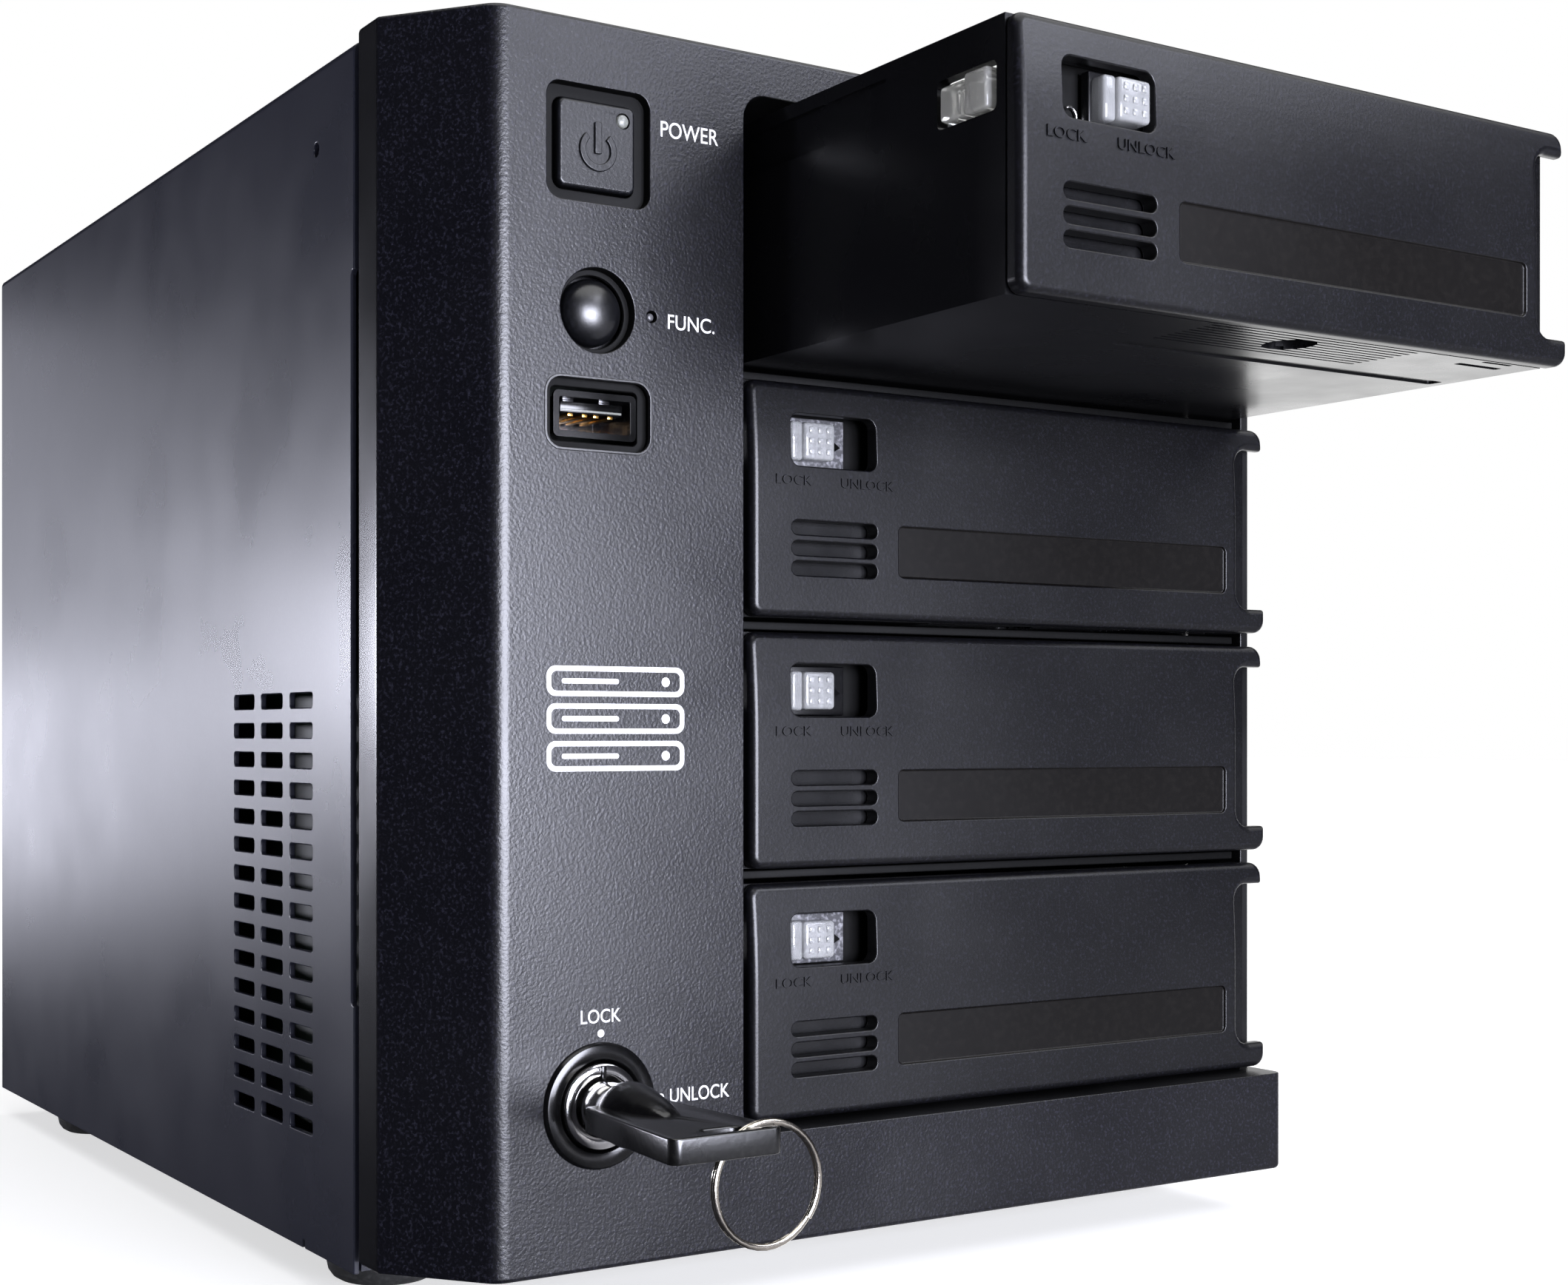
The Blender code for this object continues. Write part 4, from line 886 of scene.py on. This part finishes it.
def face_mesh(looks):
    """Cartridge face in the place of one whose face is at y 0 and floor at z 0."""
    mesh = bmesh.new()
    rims = []
    for step in range(FACE_STEPS + 2):
        turn = math.radians(90 * min(step, FACE_STEPS) / FACE_STEPS)
        inset = FACE_ROUND * (1 - math.sin(turn))
        y = FACE_ROUND * (1 - math.cos(turn)) if step <= FACE_STEPS else FACE_BACK
        rims.append([mesh.verts.new(at(u, y, v)) for u, v in face_outline(inset)])
    mesh.faces.new(rims[0])
    mesh.faces.new(rims[-1])
    for near, far in zip(rims, rims[1:]):
        for index in range(len(near)):
            after = (index + 1) % len(near)
            mesh.faces.new((near[index], near[after], far[after], far[index]))
    for low in (CROWN_FROM, 24.0, 27.0, 30.0, 32.0, 34.0, 36.0):
        geom = [*mesh.verts, *mesh.edges, *mesh.faces]
        bmesh.ops.bisect_plane(mesh, geom=geom, plane_co=at(0, 0, low), plane_no=(0, 0, 1))
    for vert in mesh.verts:
        height = max(0.0, vert.co.z / MM - FOOT - CROWN_FROM)
        if vert.co.y < at(0, 1.5, 0).y:
            vert.co.y += CROWN * height * height * MM
    face = build("face", mesh, looks["cartridge"])
    tools = [prism("t", rounded(*WINDOW, 24.9, 33.6, 1.7), "Y", -1, 4, looks["bay"])]
    for low in (6.9, 10.2, 13.6):
        tools.append(prism("t", rounded(*WINDOW, low, low + 2.35, 1.12), "Y", -1, 4, looks["bay"]))
    tools.append(prism("t", rounded(1.4, 78.5, 7.3, 15.9, 1.0), "Y", -1, 0.45, looks["label"]))
    cut(face, tools)
    soften(face, 0.26, 2, 40)
    words = [
        letters("w", "LOCK", -23.8, -16.6, 21.7, 23.3, 0.0, looks["cartridge"], 0.45),
        letters("w", "UNLOCK", -10.7, 0.2, 21.7, 23.3, 0.0, looks["cartridge"], 0.45),
    ]
    return join("face_all", [face] + words)


def shell_mesh(looks):
    """Open-topped tray with its windows, and the grooves and slots underneath."""
    look = looks["shell"]
    shell = block("shell", (CARTRIDGE_LEFT, 3.2, 0), (86.3, 162, CARTRIDGE_HIGH), look)
    tools = [
        block("t", (CARTRIDGE_LEFT + 2, 5.2, 2), (84.3, 163, 40), look),
        prism("t", rounded(5.0, 18.0, 25.8, 32.8, 1.0), "X", -30, -25.5, look),
        prism("t", rounded(-24.0, 8.0, 24.4, 34.1, 1.0), "Y", 2, 6, look),
        prism("t", circle(34.2, 9.6, 4.2, 40), "Z", -1, 3, look),
    ]
    mesh = bmesh.new()
    for index in range(9):
        y = 4.3 + index * 1.5
        prism_into(mesh, rounded(12.0, 57.4 - 0.1 * index, y - 0.3, y + 0.3, 0.28, 3), "Z", -1, 0.55)
    tools.append(build("t", mesh, look, False))
    for slot, top in (((70.5, 81.0, 6.5, 7.9, 0.3), 1.6), ((73.0, 80.0, 3.6, 4.5, 0.3), 1.6),
                      ((10.0, 84.0, 20.6, 23.6, 0.6), 0.4)):
        tools.append(prism("t", rounded(*slot, 3), "Z", -1, top, look))
    guide = [(30.0, 30.0), (140.0, 30.0), (140.0, 36.5), (30.0, 36.5)]
    tools.append(prism("t", guide, "X", -30, CARTRIDGE_LEFT + 0.6, look))
    cut(shell, tools)
    soften(shell, 0.3, 2, 40)
    return shell


def knob_mesh(looks):
    """Clear knob round x 0 and z 0, with a rib at its left and a 3 by 3 field of bumps."""
    look = looks["clear"]
    parts = [block("k", (-3.15, 0.35, -3.1), (3.15, 5.2, 3.1), look, 0.7, 4),
             block("r", (-5.3, 1.0, -3.3), (-2.9, 5.0, 3.2), look, 0.6, 4)]
    for z in (-1.75, 0, 1.75):
        for x in (-1.75, 0, 1.75):
            parts.append(block("b", (x - 0.5, 0.1, z - 0.5), (x + 0.5, 0.7, z + 0.5), look, 0.2, 2))
    return join("knob_all", parts)


def set_in_place(name, source, x, y, z):
    """A copy of a mesh, moved."""
    made = bpy.data.objects.new(name, source.data)
    made.location = (x * MM, y * MM, z * MM)
    return link(made)


def make_cartridges(looks):
    """Four cartridges with their latches; the top one is drawn out and unlocked."""
    face_source = face_mesh(looks)
    shell_source = shell_mesh(looks)
    knob_source = knob_mesh(looks)
    for bay in range(1, 5):
        floor = TOP_FLOOR - (bay - 1) * PITCH
        locked = bay != 1
        back = SET_BACK if locked else SET_BACK - DRAWN
        body = f"cartridge_{bay}"
        face = set_in_place(f"cartridge_face_{bay}", face_source, 0, back, floor)
        belongs(face, body, "charcoal_plastic", f"cartridge_front_{bay}")
        tray = set_in_place(f"cartridge_tray_{bay}", shell_source, 0, back, floor)
        belongs(tray, body, "charcoal_plastic", f"cartridge_shell_{bay}")
        knob_x = KNOB_LOCKED if locked else KNOB_OPEN
        middle = floor + 29.2
        slider = set_in_place(f"latch_knob_{bay}", knob_source, knob_x, back, middle)
        belongs(slider, f"latch_{bay}", "clear_plastic", f"latch_slider_{bay}")
        make_plate(bay, back, middle, knob_x, looks)
        # a thin black sheet behind each latch window: painted shade
        backing = block(f"latch_backing_{bay}", (-25.0, back + 5.9, floor + 23.8),
                        (9.0, back + 6.2, floor + 34.6), looks["painted_shade"], 0.1)
        belongs(backing, body, "charcoal_plastic")
        make_bolt(bay, back, floor, BOLT_TIP - (BOLT_TRAVEL if locked else 0), looks)
    for source in (face_source, shell_source, knob_source):
        bpy.data.objects.remove(source, do_unlink=True)


def make_plate(bay, back, middle, knob_x, looks):
    """Plate behind a knob, with the arrow that a locked latch shows."""
    # cartridges 2 and 4 show the grey plate; on the others the same plate takes the dark shell plastic as
    # painted shade
    look = looks["plate"] if bay in (2, 4) else looks["shell"]
    plate = block(f"latch_plate_{bay}", (knob_x - 5.9, back + 3.55, middle - 4.1),
                  (knob_x + 7.1, back + 5.2, middle + 4.1), look, 0.2)
    belongs(plate, f"latch_{bay}", "clear_plastic")
    if knob_x == KNOB_LOCKED:
        left = knob_x + 3.2
        outline = [(left, middle - 2.0), (left + 3.0, middle - 0.4), (left, middle + 1.7)]
        arrow = prism(f"latch_arrow_{bay}", outline, "Y", back + 3.3, back + 3.6, looks["gloss"])
        belongs(arrow, f"latch_{bay}", "clear_plastic")


def make_bolt(bay, back, floor, tip, looks):
    """Clear stepped bolt seen in the window of the cartridge's left side."""
    parts = []
    for start, end, radius, segments in (
        ((0, 6.3, 26.4), (7.4, 11.2, 32.2), 0.5, 4),
        ((0.4, 11.6, 26.6), (7.4, 17.2, 31.8), 0.8, 4),
        ((1.2, 10.8, 27.4), (7.2, 12.0, 31.2), 0.2, 3),
    ):
        low = (tip + start[0], back + start[1], floor + start[2])
        high = (tip + end[0], back + end[1], floor + end[2])
        parts.append(block("bolt", low, high, looks["bolt"], radius, segments))
    belongs(join(f"latch_catch_{bay}", parts), f"bolt_{bay}", "clear_plastic", f"latch_bolt_{bay}")


def make_drive(looks):
    """The drive in the drawn-out cartridge, seen from above."""
    middle = 29.2
    left, right = middle - DRIVE_WIDE / 2, middle + DRIVE_WIDE / 2
    rear = SET_BACK - DRAWN + 161
    front = rear - DRIVE_LONG
    floor = TOP_FLOOR + 5
    top = floor + 26.0
    case = block("case", (left, front, floor), (right, rear, floor + 24.6), looks["aluminium"], 1.2, 4)
    outline = fillet([(left + 3, front + 3, 5), (right - 3, front + 3, 5), (right - 3, rear - 12, 9),
                      (left + 70, rear - 3, 9), (left + 3, rear - 3, 5)])
    lid = prism("lid", outline, "Z", floor + 24.4, top, looks["steel"])
    soften(lid, 0.5, 3, 50)
    profile = [(0, 0.5), (11, 0.5), (12, 0.1), (13, 0.1), (13.6, 0), (13.6, -1), (0, -1)]
    parts = [case, lid, turned("hub", profile, (middle, rear - 88, top), "Z", looks["aluminium"], 56)]
    profile = [(0, 0.4), (1.9, 0.35), (2.3, 0.0), (2.3, -0.5), (0, -0.5)]
    for x, y in ((8, 9), (93.6, 9), (8, 138), (60, 140), (93.6, 124), (8, 74), (93.6, 74)):
        parts.append(turned("s", profile, (left + x, front + y, top), "Z", looks["steel"], 24))
    belongs(join("drive_top", parts), "cartridge_1", "drive_aluminium", "hard_drive_1")


def make_clip(looks):
    """Small wire clip seen beside the unlocked latch of the top cartridge."""
    x, y, z = -14.6, SET_BACK - DRAWN + 5.55, TOP_FLOOR + 26.8
    steps = 18
    spots = []
    for step in range(steps + 1):
        angle = math.radians(-130 + 255 * step / steps)
        spots.append((x + 1.2 * math.cos(angle), y, z + 1.5 * math.sin(angle)))
    clip = wire("latch_clip", spots, 0.26, looks["chrome"], False, 3)
    belongs(clip, "cartridge_1", "plated_steel")


# ---------------------------------------------------------------- stage


def dress_nodes(frame, looks):
    """Better materials on the CAD solids that stay."""
    by_look = {
        "cover": ["base_tray", "rear_panel"],
        "cage": ["drive_cage"],
        "steel": ["network_socket", "rear_usb_socket", "lock_nut", "lock_cam", "heatsink"],
        "fan": ["fan_frame", "power_inlet"] + [f"drive_socket_{bay}" for bay in range(1, 5)],
        "board": ["backplane", "mainboard", "memory_module", "control_board"],
        "aluminium": [f"hard_drive_{bay}" for bay in range(2, 5)],
    }
    for look, names in by_look.items():
        for name in names:
            for held in frame["nodes"][name].material_slots:
                held.material = looks[look]


def area_light(name, place, target, width, height, watts, colour):
    """Soft rectangular light."""
    data = bpy.data.lights.new(name, "AREA")
    data.shape = "RECTANGLE"
    data.size = width
    data.size_y = height
    data.energy = watts
    data.color = colour
    made = bpy.data.objects.new(name, data)
    made.location = place
    made.rotation_euler = (Vector(target) - Vector(place)).to_track_quat("-Z", "Y").to_euler()
    link(made)


def make_floor():
    """Pale floor, bright enough to pass for a white backdrop."""
    mesh = bmesh.new()
    bmesh.ops.create_grid(mesh, x_segments=1, y_segments=1, size=6.0)
    floor = build("floor", mesh, None, False)
    made, tree, shader = node_tree("floor_pale")
    tint = ranged(tree, grain_height(tree, 3.0), 0.0, 1.0)
    pale = blend_colour(tree, tint, (0.60, 0.60, 0.60), (0.62, 0.62, 0.62))
    tree.links.new(pale, shader.inputs["Base Color"])
    shader.inputs["Roughness"].default_value = 0.9
    shader.inputs["Emission Color"].default_value = (1, 1, 1, 1)
    shader.inputs["Emission Strength"].default_value = 0.62
    floor.data.materials.append(made)
    floor.visible_glossy = False
    floor.visible_shadow = False


def make_room():
    """White backdrop for the camera; dark room with one bright wall for what the surfaces mirror."""
    world = bpy.data.worlds.new("studio")
    world.use_nodes = True
    bpy.context.scene.world = world
    tree = world.node_tree
    back = tree.nodes["Background"]
    where = tree.nodes.new("ShaderNodeTexCoord")
    split = tree.nodes.new("ShaderNodeSeparateXYZ")
    tree.links.new(where.outputs["Generated"], split.inputs["Vector"])
    below = ranged(tree, split.outputs["Z"], 1.0, 0.0, -0.13, -0.04)
    aside = ranged(tree, split.outputs["X"], 0.0, 1.0, 0.25, 0.55)
    both = tree.nodes.new("ShaderNodeMath")
    both.operation = "MULTIPLY"
    tree.links.new(below, both.inputs[0])
    tree.links.new(aside, both.inputs[1])
    ahead = blend_colour(tree, both.outputs["Value"], ROOM_DARK, ROOM_FRONT)
    toward = tree.nodes.new("ShaderNodeVectorMath")
    toward.operation = "DOT_PRODUCT"
    toward.inputs[1].default_value = GLOW_TOWARD
    tree.links.new(where.outputs["Generated"], toward.inputs[0])
    room = tree.nodes.new("ShaderNodeMix")
    room.data_type = "RGBA"
    room.inputs["B"].default_value = (*ROOM_GLOW, 1)
    tree.links.new(ranged(tree, toward.outputs["Value"], 0.0, 1.0, 0.84, 0.95), room.inputs["Factor"])
    tree.links.new(ahead, room.inputs["A"])
    path = tree.nodes.new("ShaderNodeLightPath")
    seen = tree.nodes.new("ShaderNodeMix")
    seen.data_type = "RGBA"
    seen.inputs["B"].default_value = (1, 1, 1, 1)
    tree.links.new(path.outputs["Is Camera Ray"], seen.inputs["Factor"])
    tree.links.new(room.outputs["Result"], seen.inputs["A"])
    tree.links.new(seen.outputs["Result"], back.inputs["Color"])


def make_lights():
    """Soft rectangular lights, and a sun as wide as a cloudy sky."""
    for light in LIGHTS:
        area_light(*light)
    sky = bpy.data.lights.new("overhead", "SUN")
    sky.angle = math.radians(80)
    sky.energy = 2.2
    high = bpy.data.objects.new("overhead", sky)
    high.rotation_euler = (math.radians(12), math.radians(10), 0)
    link(high)
    bpy.context.scene.view_settings.view_transform = "Standard"


def make_camera():
    """Camera in front of the left corner, a little below half the object's height."""
    data = bpy.data.cameras.new("camera")
    data.sensor_width = 36
    data.lens = CAMERA_LENS
    data.shift_x, data.shift_y = CAMERA_SHIFT
    data.clip_start = 0.01
    camera = bpy.data.objects.new("camera", data)
    camera.location = CAMERA_PLACE
    camera.rotation_euler = [math.radians(turn) for turn in CAMERA_TURN]
    link(camera)
    bpy.context.scene.camera = camera


def main():
    """Build the looks round the frame."""
    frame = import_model()
    make_floor()
    make_room()
    make_lights()
    make_camera()
    looks = {**housing_looks(), **control_looks(), **metal_looks()}
    dress_nodes(frame, looks)
    make_bezel(looks)
    make_print(looks)
    make_cover(looks)
    make_rails(looks)
    make_feet(looks)
    make_guard(looks)
    make_rotor(looks)
    make_rear(looks)
    make_power(looks)
    make_func(looks)
    make_usb(looks)
    make_lock(looks)
    make_key(looks)
    make_cartridges(looks)
    make_drive(looks)
    make_clip(looks)
    bpy.context.view_layer.update()


main()
